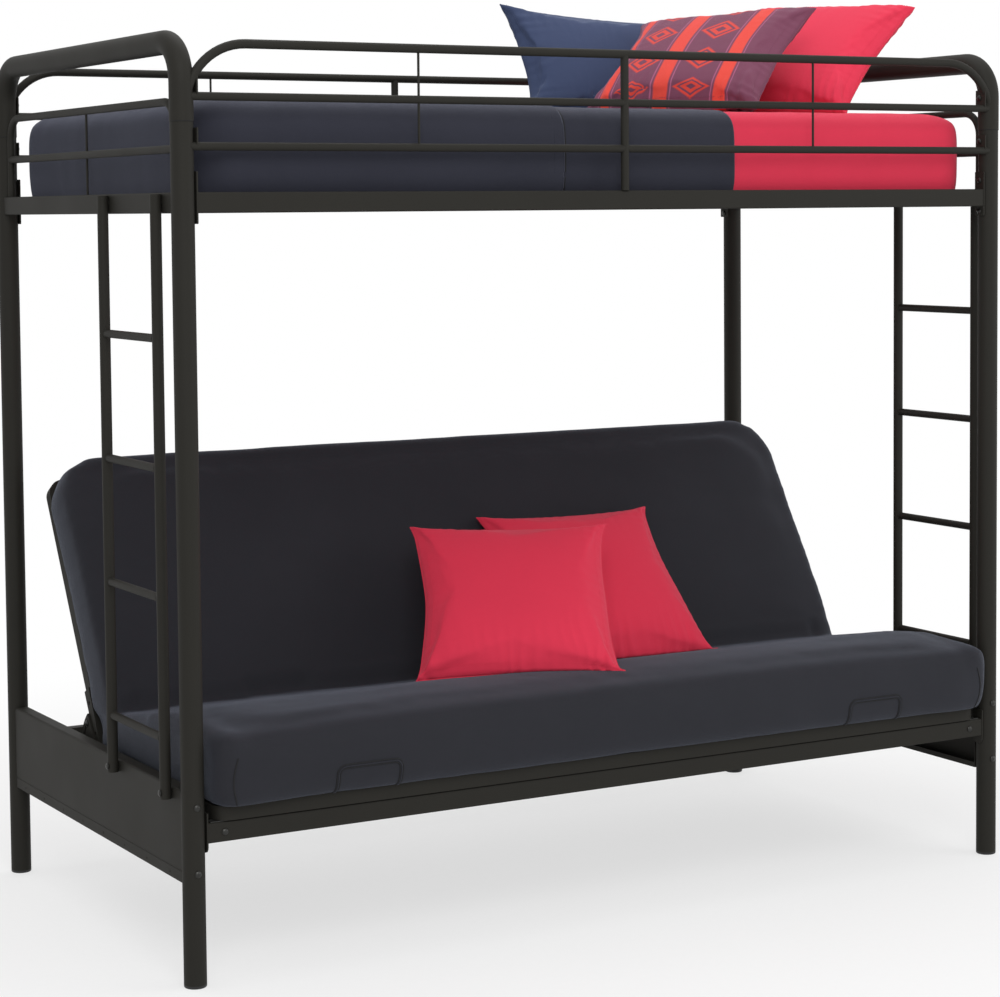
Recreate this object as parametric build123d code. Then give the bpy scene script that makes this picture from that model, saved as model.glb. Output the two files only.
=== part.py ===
from build123d import *
from math import cos, radians, sin
import os

# Bunk bed for one sleeper over a folding futon sofa, in millimetres.
# The origin is on the floor below the middle: right is +X, the front is -Y, up is +Z.
os.makedirs("parts", exist_ok=True)

# Driving sizes: the bunk mattress, the heights of the bunk and the sofa, the sofa's depth and its back
MATTRESS_HALF_LENGTH = 952.0
MATTRESS_HALF_WIDTH = 480.0
RAIL_TOP_Z = 1521.0
STRETCHER_TOP_Z = 316.0
SEAT_DEPTH = 626.0
BACK_TUBE_LENGTH = 640.0

# Clearances
FIT = 0.25
SEAT_GAP = 0.3
SETTLE_STEPS = 6
OVERRUN = 40.0

# Corner posts, their caps and the end hoops
MATTRESS_END_ROOM = 26.0
MATTRESS_SIDE_ROOM = 24.5
POST_X = MATTRESS_HALF_LENGTH + MATTRESS_END_ROOM
POST_Y = MATTRESS_HALF_WIDTH + MATTRESS_SIDE_ROOM
POST_D = 44.5
POST_WALL = 1.5
POST_RISE = 134.0
POST_TOP_Z = RAIL_TOP_Z + POST_RISE
SPIGOT_D = 42.9
SPIGOT_LENGTH = 62.0
CAP_THICKNESS = 6.0
CAP_ROUND = 3.0
CAP_PLUG_LENGTH = 25.0
HOOP_D = 46.5
HOOP_WALL = 1.5
HOOP_RISE = 308.0
HOOP_TOP_Z = RAIL_TOP_Z + HOOP_RISE
HOOP_BEND = 78.0

# Flat-sided rails: side rails, stretchers and upper end rails share one section
RAIL_WIDTH = 28.0
RAIL_HEIGHT = 39.0
RAIL_WALL = 1.5
RAIL_CORNER = 3.0
PLATE_THICKNESS = 3.0
PLATE_WIDTH = 30.0
RAIL_PLATE_DROP = 21.0
RAIL_PLATE_RISE = 39.0
RAIL_BOLT_DROP = 11.0
RAIL_BOLT_RISE = 20.0
STRETCHER_PLATE_DROP = 19.0
STRETCHER_PLATE_RISE = 20.0
STRETCHER_PLATE_ROUND = 14.0
HOOK_SPREAD = 22.0
HOOK_HEIGHT = 12.0
HOOK_DROP = 6.0
HOOK_REACH = 10.0
HOOK_THICKNESS = 3.0
LEDGE_WIDTH = 20.0
LEDGE_THICKNESS = 2.0

# Folded steel slats of the bunk
SLAT_COUNT = 13
SLAT_SETBACK = 138.0
SLAT_PITCH = 2 * (POST_X - SLAT_SETBACK) / (SLAT_COUNT - 1)
SLAT_WIDTH = 60.0
SLAT_HEIGHT = 15.0
SLAT_THICKNESS = 1.2
SLAT_CORNER = 3.0
SLAT_END_GAP = 0.5

# End guards, bent tubes that stand on the upper end rails
END_GUARD_D = 16.0
END_GUARD_WALL = 1.2
END_GUARD_RISE = 172.0
END_GUARD_TOP_Z = RAIL_TOP_Z + END_GUARD_RISE
END_GUARD_MID_RISE = 82.0
END_GUARD_MID_Z = RAIL_TOP_Z + END_GUARD_MID_RISE
END_GUARD_BEND = 50.0
ROD_D = 5.0

# Guard rails of the long sides
GUARD_OFFSET = 12.0
GUARD_TOP_D = 18.0
GUARD_BAR_D = 16.0
GUARD_WALL = 1.5
GUARD_TOP_RISE = 280.0
GUARD_MID_RISE = 180.0
GUARD_LOW_RISE = 86.0
GUARD_TOP_Z = RAIL_TOP_Z + GUARD_TOP_RISE
GUARD_MID_Z = RAIL_TOP_Z + GUARD_MID_RISE
GUARD_LOW_Z = RAIL_TOP_Z + GUARD_LOW_RISE
GUARD_STRAIGHT_SETBACK = 128.0
GUARD_STRAIGHT_X = POST_X - GUARD_STRAIGHT_SETBACK
GUARD_BEND = 125.0
GUARD_ROD_SETBACK = 498.0
GUARD_ROD_X = POST_X - GUARD_ROD_SETBACK
GUARD_UPRIGHT_D = 17.0
GUARD_TAB_WIDTH = 32.0
GUARD_TAB_RISE_HIGH = 41.0
GUARD_TAB_RISE_LOW = 35.0
GUARD_BOLT_RISE_HIGH = 24.0
GUARD_BOLT_RISE_LOW = 21.0
GUARD_TAB_HIGH_TOP_Z = GUARD_MID_Z + GUARD_TAB_RISE_HIGH
GUARD_TAB_LOW_TOP_Z = GUARD_LOW_Z + GUARD_TAB_RISE_LOW
GUARD_BOLT_HIGH_Z = GUARD_MID_Z + GUARD_BOLT_RISE_HIGH
GUARD_BOLT_LOW_Z = GUARD_LOW_Z + GUARD_BOLT_RISE_LOW

# Pressed panels low at both ends
PANEL_STAND_OFF = 14.0
PANEL_DROP = 120.0
PANEL_RISE = 62.0
PANEL_FACE_X = POST_X + PANEL_STAND_OFF
PANEL_DEPTH = 28.0
PANEL_SHEET = 1.5
PANEL_BOTTOM_Z = STRETCHER_TOP_Z - PANEL_DROP
PANEL_TOP_Z = STRETCHER_TOP_Z + PANEL_RISE
PANEL_LIP = 10.0
PANEL_CORNER = 5.0
PANEL_BOLT_TOP_DROP = 27.0
PANEL_BOLT_BOTTOM_RISE = 27.0
PANEL_GROOVE_RISE = 24.0
PANEL_GROOVE_HEIGHT = 4.0
PANEL_GROOVE_DEPTH = 0.6
PANEL_DIMPLE_RISE = 12.0
PANEL_DIMPLE_D = 5.0
PANEL_DIMPLE_INSET = 84.5
PANEL_DIMPLE_COUNT = 8
PANEL_DIMPLE_PITCH = 2 * (POST_Y - PANEL_DIMPLE_INSET) / (PANEL_DIMPLE_COUNT - 1)

# Ladders outside both ends
LADDER_RAIL_D = 22.0
LADDER_WALL = 1.5
LADDER_SETBACK = 73.5
LADDER_SPACING = 280.0
LADDER_LAP = 24.0
LADDER_HEAD_GAP = 3.0
LADDER_NEAR_Y = -POST_Y + LADDER_SETBACK
LADDER_FAR_Y = LADDER_NEAR_Y + LADDER_SPACING
LADDER_BOTTOM_Z = PANEL_TOP_Z - LADDER_LAP
LADDER_TOP_Z = RAIL_TOP_Z - LADDER_HEAD_GAP
LADDER_BOLT_INSET = 12.0
RUNG_D = 16.5
RUNG_FOOT = 117.0
RUNG_HEAD = 275.0
RUNG_PITCH = 250.0
RUNG_FIRST_Z = LADDER_BOTTOM_Z + RUNG_FOOT
RUNG_SECOND_Z = LADDER_TOP_Z - RUNG_HEAD - 2 * RUNG_PITCH
RUNG_THIRD_Z = LADDER_TOP_Z - RUNG_HEAD - RUNG_PITCH
RUNG_FOURTH_Z = LADDER_TOP_Z - RUNG_HEAD

# Bolts with button heads
BOLT_D = 8.0
BOLT_HOLE_D = 8.6
BOLT_HEAD_D = 13.0
BOLT_HEAD_HEIGHT = 4.0
BOLT_GRIP = 10.0
NUT_D = 14.0
NUT_HEIGHT = 5.5
HEAD_RIM_SHARE = 0.4
HEAD_SHOULDER_SHARES = (0.3, 0.87)

# Tracks below the sofa seat
SEAT_END_ROOM = 42.0
TRACK_SETBACK = 18.5
SEAT_HALF_LENGTH = POST_X - SEAT_END_ROOM
TRACK_X = SEAT_HALF_LENGTH - TRACK_SETBACK
TRACK_WIDTH = 26.0
TRACK_HEIGHT = 38.0
TRACK_WALL = 2.0
TRACK_SLOT = 12.0
TRACK_DROP = 1.0
TRACK_END_THICKNESS = 3.0

# Seat frame of the sofa, level
SEAT_TUBE_WIDTH = 20.0
SEAT_TUBE_HEIGHT = 28.0
SEAT_TUBE_WALL = 1.5
SEAT_TUBE_BEND = 24.0
SEAT_FRONT_REACH = 18.5
SEAT_FRONT_Y = -POST_Y - SEAT_FRONT_REACH
PIVOT_Y = SEAT_FRONT_Y + SEAT_DEPTH
SEAT_BACK_GAP = 24.0
SEAT_BACK_Y = PIVOT_Y - SEAT_BACK_GAP
SEAT_BASE_LIFT = 2.0
SEAT_BASE_Z = STRETCHER_TOP_Z + SEAT_BASE_LIFT
SEAT_REAR_BAR_SETBACK = 29.0
SEAT_REAR_BAR_Y = SEAT_BACK_Y - SEAT_REAR_BAR_SETBACK
SEAT_MID_BAR_SETBACK = 293.0
SEAT_MID_BAR_Y = SEAT_FRONT_Y + SEAT_MID_BAR_SETBACK
MID_BAR_DROP = 8.0
GLIDE_LENGTH = 60.0
GLIDE_FRONT_SETBACK = 193.0
GLIDE_FRONT_Y = PIVOT_Y - GLIDE_FRONT_SETBACK
GLIDE_REAR_SETBACK = 68.0
GLIDE_REAR_Y = PIVOT_Y - GLIDE_REAR_SETBACK
GLIDE_FOOT_WIDTH = 20.0
GLIDE_FOOT_HEIGHT = 22.0
GLIDE_NECK_WIDTH = 9.0
GLIDE_FLANGE_WIDTH = 22.0
GLIDE_CORNER = 4.0
PAD_LENGTH = 40.0
PAD_WIDTH = 20.0

# Wire mesh of the seat and the back: wires with six sides
WIRE_WIDTH = 4.0
LONG_WIRE_PITCH = 90.0
SHORT_WIRE_PITCH = 110.0

# Folding hinge
PIVOT_LIFT = 14.0
BACK_ANGLE = 60.0
HINGE_PLATE_THICKNESS = 4.0
HINGE_PLATE_GAP = 0.5
HUB_RADIUS = 22.0
STOP_RADIUS = 86.3
STOP_ANGLE = 44.0
STOP_MARGIN_ANGLE = 10.0
STOP_SLOT_WIDTH = 9.0
STOP_RIM = 10.0
STOP_LOBE_RADIUS = 14.0
HINGE_STRIP_LENGTH = 150.0
HINGE_STRIP_HEIGHT = 28.0
HINGE_BOLT_NEAR = 50.0
HINGE_BOLT_FAR = 120.0
PIN_D = 8.0
PIN_CLEARANCE = 0.08
PIN_HEAD_D = 14.0
PIN_HEAD_HEIGHT = 3.7

# Back frame of the sofa, measured along the back from the pivot
BACK_TUBE_START = 26.0
BACK_BAR_AT = 50.0
BACK_MID_BAR_AT = 340.0

# Folded futon mattress
FUTON_END_REACH = 9.0
FUTON_FRONT_REACH = 37.0
FUTON_HALF_LENGTH = SEAT_HALF_LENGTH + FUTON_END_REACH
FUTON_FRONT_Y = SEAT_FRONT_Y - FUTON_FRONT_REACH
FUTON_FRONT_CORNER = 70.0
FUTON_TOP_RISE = 177.0
FUTON_TOP_Z = SEAT_BASE_Z + FUTON_TOP_RISE
FUTON_CREASE_SETBACK = 56.0
FUTON_CREASE_RISE = 132.0
FUTON_CROWN_SETBACK = 172.0
FUTON_CREASE_Y = PIVOT_Y - FUTON_CREASE_SETBACK
FUTON_CREASE_Z = SEAT_BASE_Z + FUTON_CREASE_RISE
FUTON_CROWN_Y = SEAT_FRONT_Y + FUTON_CROWN_SETBACK
FUTON_BACK_REACH = 23.0
FUTON_BACK_LENGTH = BACK_TUBE_LENGTH + FUTON_BACK_REACH
FUTON_BACK_THICKNESS = 118.0
FUTON_BACK_CORNER = 110.0
FOLD_SETBACK = 8.0
FOLD_GAP = 0.6

# Bunk mattress and its covers
MATTRESS_RISE = 179.0
MATTRESS_TOP_Z = RAIL_TOP_Z + MATTRESS_RISE
MATTRESS_CORNER = 60.0
DUVET_THICKNESS = 8.0
DUVET_SETBACK = 1079.0
DUVET_EDGE_X = MATTRESS_HALF_LENGTH - DUVET_SETBACK
BLANKET_THICKNESS = 5.0
BLANKET_SETBACK = 649.0
BLANKET_EDGE_X = MATTRESS_HALF_LENGTH - BLANKET_SETBACK
COVER_HEM_RISE = 9.0
COVER_HEM_Z = RAIL_TOP_Z + COVER_HEM_RISE

# Throw cushions on the sofa, each placed by the middle of its lower edge
CUSHION_SIDE = 445.0
CUSHION_THICKNESS = 130.0
CUSHION_DIP = 26.0
FRONT_CUSHION_X = -155.0
FRONT_CUSHION_SETBACK = 198.0
FRONT_CUSHION_Y = SEAT_FRONT_Y + FRONT_CUSHION_SETBACK
FRONT_CUSHION_TURN = -26.0
FRONT_CUSHION_LEAN = 39.0
REAR_CUSHION_X = 208.0
REAR_CUSHION_SETBACK = 269.0
REAR_CUSHION_Y = PIVOT_Y - REAR_CUSHION_SETBACK
REAR_CUSHION_TURN = -4.0
REAR_CUSHION_LEAN = 42.0

# Pillows on the bunk, each placed by the middle of its lower edge
PILLOW_DIP = 24.0
BLUE_WIDTH = 450.0
BLUE_HEIGHT = 285.0
BLUE_THICKNESS = 110.0
BLUE_SETBACK = 580.0
BLUE_X = MATTRESS_HALF_LENGTH - BLUE_SETBACK
BLUE_Y = 105.0
BLUE_TURN = -5.0
BLUE_LEAN = 62.0
PATTERNED_WIDTH = 430.0
PATTERNED_HEIGHT = 370.0
PATTERNED_THICKNESS = 110.0
PATTERNED_SETBACK = 622.0
PATTERNED_X = MATTRESS_HALF_LENGTH - PATTERNED_SETBACK
PATTERNED_Y = -190.0
PATTERNED_TURN = -62.0
PATTERNED_LEAN = 38.0
CRIMSON_WIDTH = 440.0
CRIMSON_HEIGHT = 395.0
CRIMSON_THICKNESS = 120.0
CRIMSON_SETBACK = 332.0
CRIMSON_X = MATTRESS_HALF_LENGTH - CRIMSON_SETBACK
CRIMSON_Y = -145.0
CRIMSON_TURN = -66.0
CRIMSON_LEAN = 41.0

# Shares that shape the soft pieces, chosen by hand
PILLOW_SHARES = ((0.34, 1.0, -0.2), (0.66, 0.84, 0.1), (0.9, 0.45, 0.6), (1.0, 0.0, 1.0))
MATTRESS_SHARES = ((0.0, 0.03), (0.08, 0.004), (0.5, 0.0), (0.86, 0.004), (0.95, 0.03), (0.985, 0.09), (1.0, 0.26))
SEAT_SHARES = ((0.0, 0.075), (0.12, 0.03), (0.5, 0.0), (0.85, 0.04), (0.96, 0.12), (1.0, 0.3))
BACK_SHARES = ((0.0, 0.05), (0.15, 0.012), (0.5, 0.0), (0.82, 0.02), (0.94, 0.09), (1.0, 0.28))

# Sizes that follow from those above
POST_R = POST_D / 2
RAIL_BASE_Z = RAIL_TOP_Z - RAIL_HEIGHT
RAIL_INNER_Y = POST_Y - RAIL_WIDTH / 2
POST_INNER_X = POST_X - POST_R
PLATE_OUTER_X = POST_INNER_X - FIT
PLATE_INNER_X = PLATE_OUTER_X - PLATE_THICKNESS
STRETCHER_BASE_Z = STRETCHER_TOP_Z - RAIL_HEIGHT
STRETCHER_MID_Z = STRETCHER_TOP_Z - RAIL_HEIGHT / 2
GUARD_Y = POST_Y + GUARD_OFFSET
HOOP_INNER_X = POST_X - HOOP_D / 2
RAIL_BOLT_LOW_Z = RAIL_BASE_Z - RAIL_BOLT_DROP
RAIL_BOLT_HIGH_Z = RAIL_TOP_Z + RAIL_BOLT_RISE
PANEL_BOLT_HIGH_Z = PANEL_TOP_Z - PANEL_BOLT_TOP_DROP
PANEL_BOLT_LOW_Z = PANEL_BOTTOM_Z + PANEL_BOLT_BOTTOM_RISE
PANEL_END_Y = POST_Y - POST_R - FIT
LADDER_X = PANEL_FACE_X + LADDER_RAIL_D / 2 + SEAT_GAP
LADDER_BOLT_Z = LADDER_BOTTOM_Z + LADDER_BOLT_INSET
LADDER_TOP_BOLT_Z = RAIL_TOP_Z - RAIL_HEIGHT / 2
SEAT_TOP_Z = SEAT_BASE_Z + SEAT_TUBE_HEIGHT
SEAT_TUBE_X = SEAT_HALF_LENGTH - SEAT_TUBE_WIDTH / 2
SEAT_INNER_X = SEAT_HALF_LENGTH - SEAT_TUBE_WIDTH
PIVOT_Z = SEAT_BASE_Z + PIVOT_LIFT
ARM_OUTER_X = SEAT_HALF_LENGTH - HINGE_PLATE_GAP
ARM_INNER_X = ARM_OUTER_X - HINGE_PLATE_THICKNESS
PIN_HOLE_D = PIN_D + 2 * PIN_CLEARANCE
STOP_RIM_RADIUS = STOP_RADIUS + STOP_SLOT_WIDTH / 2 + STOP_RIM
BACK_TUBE_X = ARM_INNER_X - SEAT_TUBE_WIDTH / 2
BACK_INNER_X = ARM_INNER_X - SEAT_TUBE_WIDTH
SLAT_TOP_Z = RAIL_BASE_Z + LEDGE_THICKNESS + SLAT_HEIGHT
TRACK_TOP_Z = STRETCHER_TOP_Z - TRACK_DROP
TRACK_BASE_Z = TRACK_TOP_Z - TRACK_HEIGHT

# Plane of the reclined back: x along the sofa, y up the back, z out of its front
BACK = Plane(
    origin=(0, PIVOT_Y, PIVOT_Z),
    x_dir=(1, 0, 0),
    z_dir=(0, -sin(radians(BACK_ANGLE)), cos(radians(BACK_ANGLE))),
)
SIDES = (-1, 1)


def save(name, *shapes):
    """Write one piece as a STEP file."""
    whole = shapes[0] if len(shapes) == 1 else Compound(children=list(shapes))
    whole.label = name
    export_step(whole, f"parts/{name}.step")


def solids_of(shapes):
    """Flatten a list of shapes into their solids."""
    return [solid for shape in shapes for solid in shape.solids()]


def bar(start, end, diameter, wall=None):
    """Straight round bar, or a tube if it has a wall."""
    run = Vector(*end) - Vector(*start)
    section = Circle(diameter / 2)
    if wall:
        section -= Circle(diameter / 2 - wall)
    return extrude(Plane(origin=start, z_dir=run) * section, amount=run.length)


def bent(points, bend, section):
    """Section swept along straight runs joined by arcs; the section's x axis stays level."""
    path = FilletPolyline(*points, radius=bend)
    heading = path % 0
    level = Vector(0, 0, 1).cross(heading)
    if level.length < FIT:
        level = Vector(1, 0, 0)
    start = Plane(origin=path @ 0, x_dir=level, z_dir=heading)
    return sweep(start * section, path=path)


def ring(diameter, wall):
    return Circle(diameter / 2) - Circle(diameter / 2 - wall)


def box_between(x0, x1, y0, y1, z0, z1):
    """Box from its limits on each axis."""
    centre = ((x0 + x1) / 2, (y0 + y1) / 2, (z0 + z1) / 2)
    return Pos(*centre) * Box(abs(x1 - x0), abs(y1 - y0), abs(z1 - z0))


def hollow_section(width, height, wall, corner):
    """Rectangular tube section with rounded corners."""
    inner = RectangleRounded(width - 2 * wall, height - 2 * wall, corner - wall / 2)
    return RectangleRounded(width, height, corner) - inner


def hole(seat, axis, diameter, depth):
    """Drill that starts just before the seat and runs along the axis."""
    along = Vector(*axis).normalized()
    start = Vector(*seat) - along * SEAT_GAP
    return extrude(Plane(origin=start, z_dir=along) * Circle(diameter / 2), amount=depth)


def bolt(seat, axis, grip, nut_at=None, diameter=BOLT_D, head_d=BOLT_HEAD_D, head_h=BOLT_HEAD_HEIGHT):
    """Button-head bolt with its head on the seat, its shank along the axis and perhaps a nut."""
    rim = head_h * HEAD_RIM_SHARE
    shoulder = (head_d * HEAD_SHOULDER_SHARES[0], -head_h * HEAD_SHOULDER_SHARES[1])
    outline = [
        ThreePointArc((0, -head_h), shoulder, (head_d / 2, -rim)),
        Line((head_d / 2, -rim), (head_d / 2, 0)),
        Line((head_d / 2, 0), (diameter / 2, 0)),
        Line((diameter / 2, 0), (diameter / 2, grip)),
        Line((diameter / 2, grip), (0, grip)),
        Line((0, grip), (0, -head_h)),
    ]
    turned = revolve(Plane.XZ * make_face(outline), axis=Axis.Z)
    if nut_at is not None:
        hexagon = RegularPolygon(NUT_D / 2, 6)
        turned += extrude(Plane.XY.offset(nut_at) * hexagon, amount=NUT_HEIGHT)
    return Plane(origin=seat, z_dir=axis) * turned


def post_envelope(x, y, room=0):
    """Outer form of a post, used to cut what meets it."""
    return Pos(x, y, POST_TOP_Z / 2) * Cylinder(POST_R + room, POST_TOP_Z)


def hoop_points(x):
    leg_top = HOOP_TOP_Z - HOOP_D / 2
    return [(x, -POST_Y, POST_TOP_Z), (x, -POST_Y, leg_top), (x, POST_Y, leg_top), (x, POST_Y, POST_TOP_Z)]


def hoop_envelope(x, room=0):
    return bent(hoop_points(x), HOOP_BEND, Circle(HOOP_D / 2 + room))


def make_post(x, y):
    """Round post with a reduced spigot on top, bolt holes and hook slots in its inner side."""
    inward = (-1 if x > 0 else 1, 0, 0)
    start_x = x + (POST_R + FIT if x < 0 else -POST_R - FIT)
    body = bar((x, y, CAP_THICKNESS), (x, y, POST_TOP_Z), POST_D)
    body += bar((x, y, POST_TOP_Z), (x, y, POST_TOP_Z + SPIGOT_LENGTH), SPIGOT_D)
    body -= bar((x, y, 0), (x, y, POST_TOP_Z), POST_D - 2 * POST_WALL)
    body -= bar((x, y, 0), (x, y, POST_TOP_Z + SPIGOT_LENGTH + OVERRUN), SPIGOT_D - 2 * POST_WALL)
    outward = (-inward[0], 0, 0)
    for z in (RAIL_BOLT_LOW_Z, RAIL_BOLT_HIGH_Z, GUARD_BOLT_LOW_Z):
        body -= hole((start_x, y, z), outward, BOLT_HOLE_D, POST_R)
    outer_y = y + (POST_R if y > 0 else -POST_R)
    for z in (PANEL_BOLT_LOW_Z, PANEL_BOLT_HIGH_Z):
        body -= hole((x, outer_y, z), (0, -1 if y > 0 else 1, 0), BOLT_HOLE_D, POST_D + OVERRUN)
    for z in hook_levels():
        low = z - HOOK_HEIGHT / 2
        high = z + HOOK_HEIGHT / 2 + HOOK_DROP + FIT
        half = HOOK_THICKNESS / 2 + FIT
        body -= box_between(start_x, start_x + outward[0] * POST_R / 2, y - half, y + half, low, high)
    return body


def hook_levels():
    return (STRETCHER_MID_Z - HOOK_SPREAD, STRETCHER_MID_Z + HOOK_SPREAD)


def make_caps():
    """Plastic caps that plug the feet of the posts."""
    plug_d = POST_D - 2 * POST_WALL - 2 * FIT
    caps = []
    for x in (-POST_X, POST_X):
        for y in (-POST_Y, POST_Y):
            rim = bar((x, y, 0), (x, y, CAP_THICKNESS), POST_D)
            rim = fillet(rim.edges().sort_by(Axis.Z)[0], CAP_ROUND)
            caps.append(rim + bar((x, y, CAP_THICKNESS), (x, y, CAP_THICKNESS + CAP_PLUG_LENGTH), plug_d))
    return solids_of(caps)


def make_hoop(x):
    """Bent tube over the tops of two posts."""
    body = bent(hoop_points(x), HOOP_BEND, ring(HOOP_D, HOOP_WALL))
    side = 1 if x > 0 else -1
    start = x - side * (HOOP_D / 2 + FIT)
    for y in (-POST_Y, POST_Y):
        body -= hole((start, y, GUARD_BOLT_HIGH_Z), (side, 0, 0), BOLT_HOLE_D, HOOP_D / 2)
    return body


def make_end_rail(x):
    """Cross rail between the posts, its ends cut to the round posts."""
    section = hollow_section(RAIL_WIDTH, RAIL_HEIGHT, RAIL_WALL, RAIL_CORNER)
    plane = Plane(origin=(x, -POST_Y, RAIL_TOP_Z - RAIL_HEIGHT / 2), x_dir=(1, 0, 0), z_dir=(0, 1, 0))
    rail = extrude(plane * section, amount=2 * POST_Y)
    for y in (-POST_Y, POST_Y):
        rail -= post_envelope(x, y, FIT)
    side = 1 if x > 0 else -1
    for y in (LADDER_NEAR_Y, LADDER_FAR_Y):
        seat = (x - side * RAIL_WIDTH / 2, y, LADDER_TOP_BOLT_Z)
        rail -= hole(seat, (side, 0, 0), BOLT_HOLE_D, RAIL_WIDTH + OVERRUN)
    return rail


def make_end_guard(x):
    """Bent tube with a middle bar and a thin rod, standing on the end rail."""
    leg_y = POST_Y - POST_R - FIT - END_GUARD_D / 2
    points = [
        (x, -leg_y, RAIL_TOP_Z),
        (x, -leg_y, END_GUARD_TOP_Z),
        (x, leg_y, END_GUARD_TOP_Z),
        (x, leg_y, RAIL_TOP_Z),
    ]
    frame = bent(points, END_GUARD_BEND, Circle(END_GUARD_D / 2))
    frame += bar((x, -leg_y, END_GUARD_MID_Z), (x, leg_y, END_GUARD_MID_Z), END_GUARD_D)
    frame += bar((x, 0, RAIL_TOP_Z), (x, 0, END_GUARD_TOP_Z), ROD_D)
    return frame - bent(points, END_GUARD_BEND, Circle(END_GUARD_D / 2 - END_GUARD_WALL))


def rail_section():
    return hollow_section(RAIL_WIDTH, RAIL_HEIGHT, RAIL_WALL, RAIL_CORNER)


def make_long_tube(y, top_z):
    """Rectangular tube along the bed between its two end plates."""
    plane = Plane(origin=(-PLATE_INNER_X, y, top_z - RAIL_HEIGHT / 2), x_dir=(0, 1, 0), z_dir=(1, 0, 0))
    return extrude(plane * rail_section(), amount=2 * PLATE_INNER_X)


def make_side_rail(y):
    """Side rail with bolted end plates and the inner ledge for the slats."""
    rail = make_long_tube(y, RAIL_TOP_Z)
    side = 1 if y > 0 else -1
    rail += box_between(
        -PLATE_INNER_X,
        PLATE_INNER_X,
        side * (RAIL_INNER_Y + RAIL_CORNER),
        side * (RAIL_INNER_Y - LEDGE_WIDTH),
        RAIL_BASE_Z,
        RAIL_BASE_Z + LEDGE_THICKNESS,
    )
    for end in SIDES:
        plate = box_between(
            end * PLATE_INNER_X,
            end * PLATE_OUTER_X,
            y - PLATE_WIDTH / 2,
            y + PLATE_WIDTH / 2,
            RAIL_BASE_Z - RAIL_PLATE_DROP,
            RAIL_TOP_Z + RAIL_PLATE_RISE,
        )
        plate = fillet(plate.edges().filter_by(Axis.X), RAIL_CORNER)
        for z in (RAIL_BOLT_LOW_Z, RAIL_BOLT_HIGH_Z):
            plate -= hole((end * PLATE_INNER_X, y, z), (end, 0, 0), BOLT_HOLE_D, OVERRUN)
        rail += plate
    return rail


def make_hook(end, y, z):
    """Hook that drops behind the wall of the post."""
    root = end * PLATE_OUTER_X
    behind = end * (POST_INNER_X + POST_WALL + FIT)
    tip = end * (POST_INNER_X + HOOK_REACH)
    half = HOOK_THICKNESS / 2
    shank = box_between(root, tip, y - half, y + half, z - HOOK_HEIGHT / 2, z + HOOK_HEIGHT / 2)
    drop = box_between(behind, tip, y - half, y + half, z - HOOK_HEIGHT / 2 - HOOK_DROP, z)
    return shank + drop


def make_stretcher(y):
    """Stretcher below the sofa, hung in the posts by hooks."""
    body = make_long_tube(y, STRETCHER_TOP_Z)
    for end in SIDES:
        plate = box_between(
            end * PLATE_INNER_X,
            end * PLATE_OUTER_X,
            y - PLATE_WIDTH / 2,
            y + PLATE_WIDTH / 2,
            STRETCHER_BASE_Z - STRETCHER_PLATE_DROP,
            STRETCHER_TOP_Z + STRETCHER_PLATE_RISE,
        )
        low_edges = plate.edges().filter_by(Axis.X).sort_by(Axis.Z)[:2]
        plate = fillet(low_edges, STRETCHER_PLATE_ROUND)
        body += plate
        for z in hook_levels():
            body += make_hook(end, y, z)
        side = 1 if y > 0 else -1
        seat = (end * TRACK_X, y + side * RAIL_WIDTH / 2, STRETCHER_MID_Z)
        body -= hole(seat, (0, -side, 0), BOLT_HOLE_D, RAIL_WIDTH + OVERRUN)
    return body


def make_slats():
    """Folded slats across the bunk, resting on the ledges."""
    length = 2 * (RAIL_INNER_Y - SLAT_END_GAP)
    outer = Rectangle(SLAT_WIDTH, SLAT_HEIGHT)
    outer = fillet(outer.vertices().sort_by(Axis.Y)[-2:], SLAT_CORNER)
    inner = Pos(0, -SLAT_THICKNESS) * Rectangle(SLAT_WIDTH - 2 * SLAT_THICKNESS, SLAT_HEIGHT)
    section = outer - inner
    mid_z = RAIL_BASE_Z + LEDGE_THICKNESS + SLAT_HEIGHT / 2
    slats = []
    for k in range(SLAT_COUNT):
        x = (k - (SLAT_COUNT - 1) / 2) * SLAT_PITCH
        plane = Plane(origin=(x, length / 2, mid_z), x_dir=(-1, 0, 0), z_dir=(0, -1, 0))
        slats.append(extrude(plane * section, amount=length))
    return solids_of(slats)


def guard_path(y):
    """Route of the top guard bar, bent down towards the posts at both ends."""
    low = GUARD_TOP_Z - GUARD_BEND - GUARD_TOP_D
    side_x = GUARD_STRAIGHT_X + GUARD_BEND
    return [(-side_x, y, low), (-side_x, y, GUARD_TOP_Z), (side_x, y, GUARD_TOP_Z), (side_x, y, low)]


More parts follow.
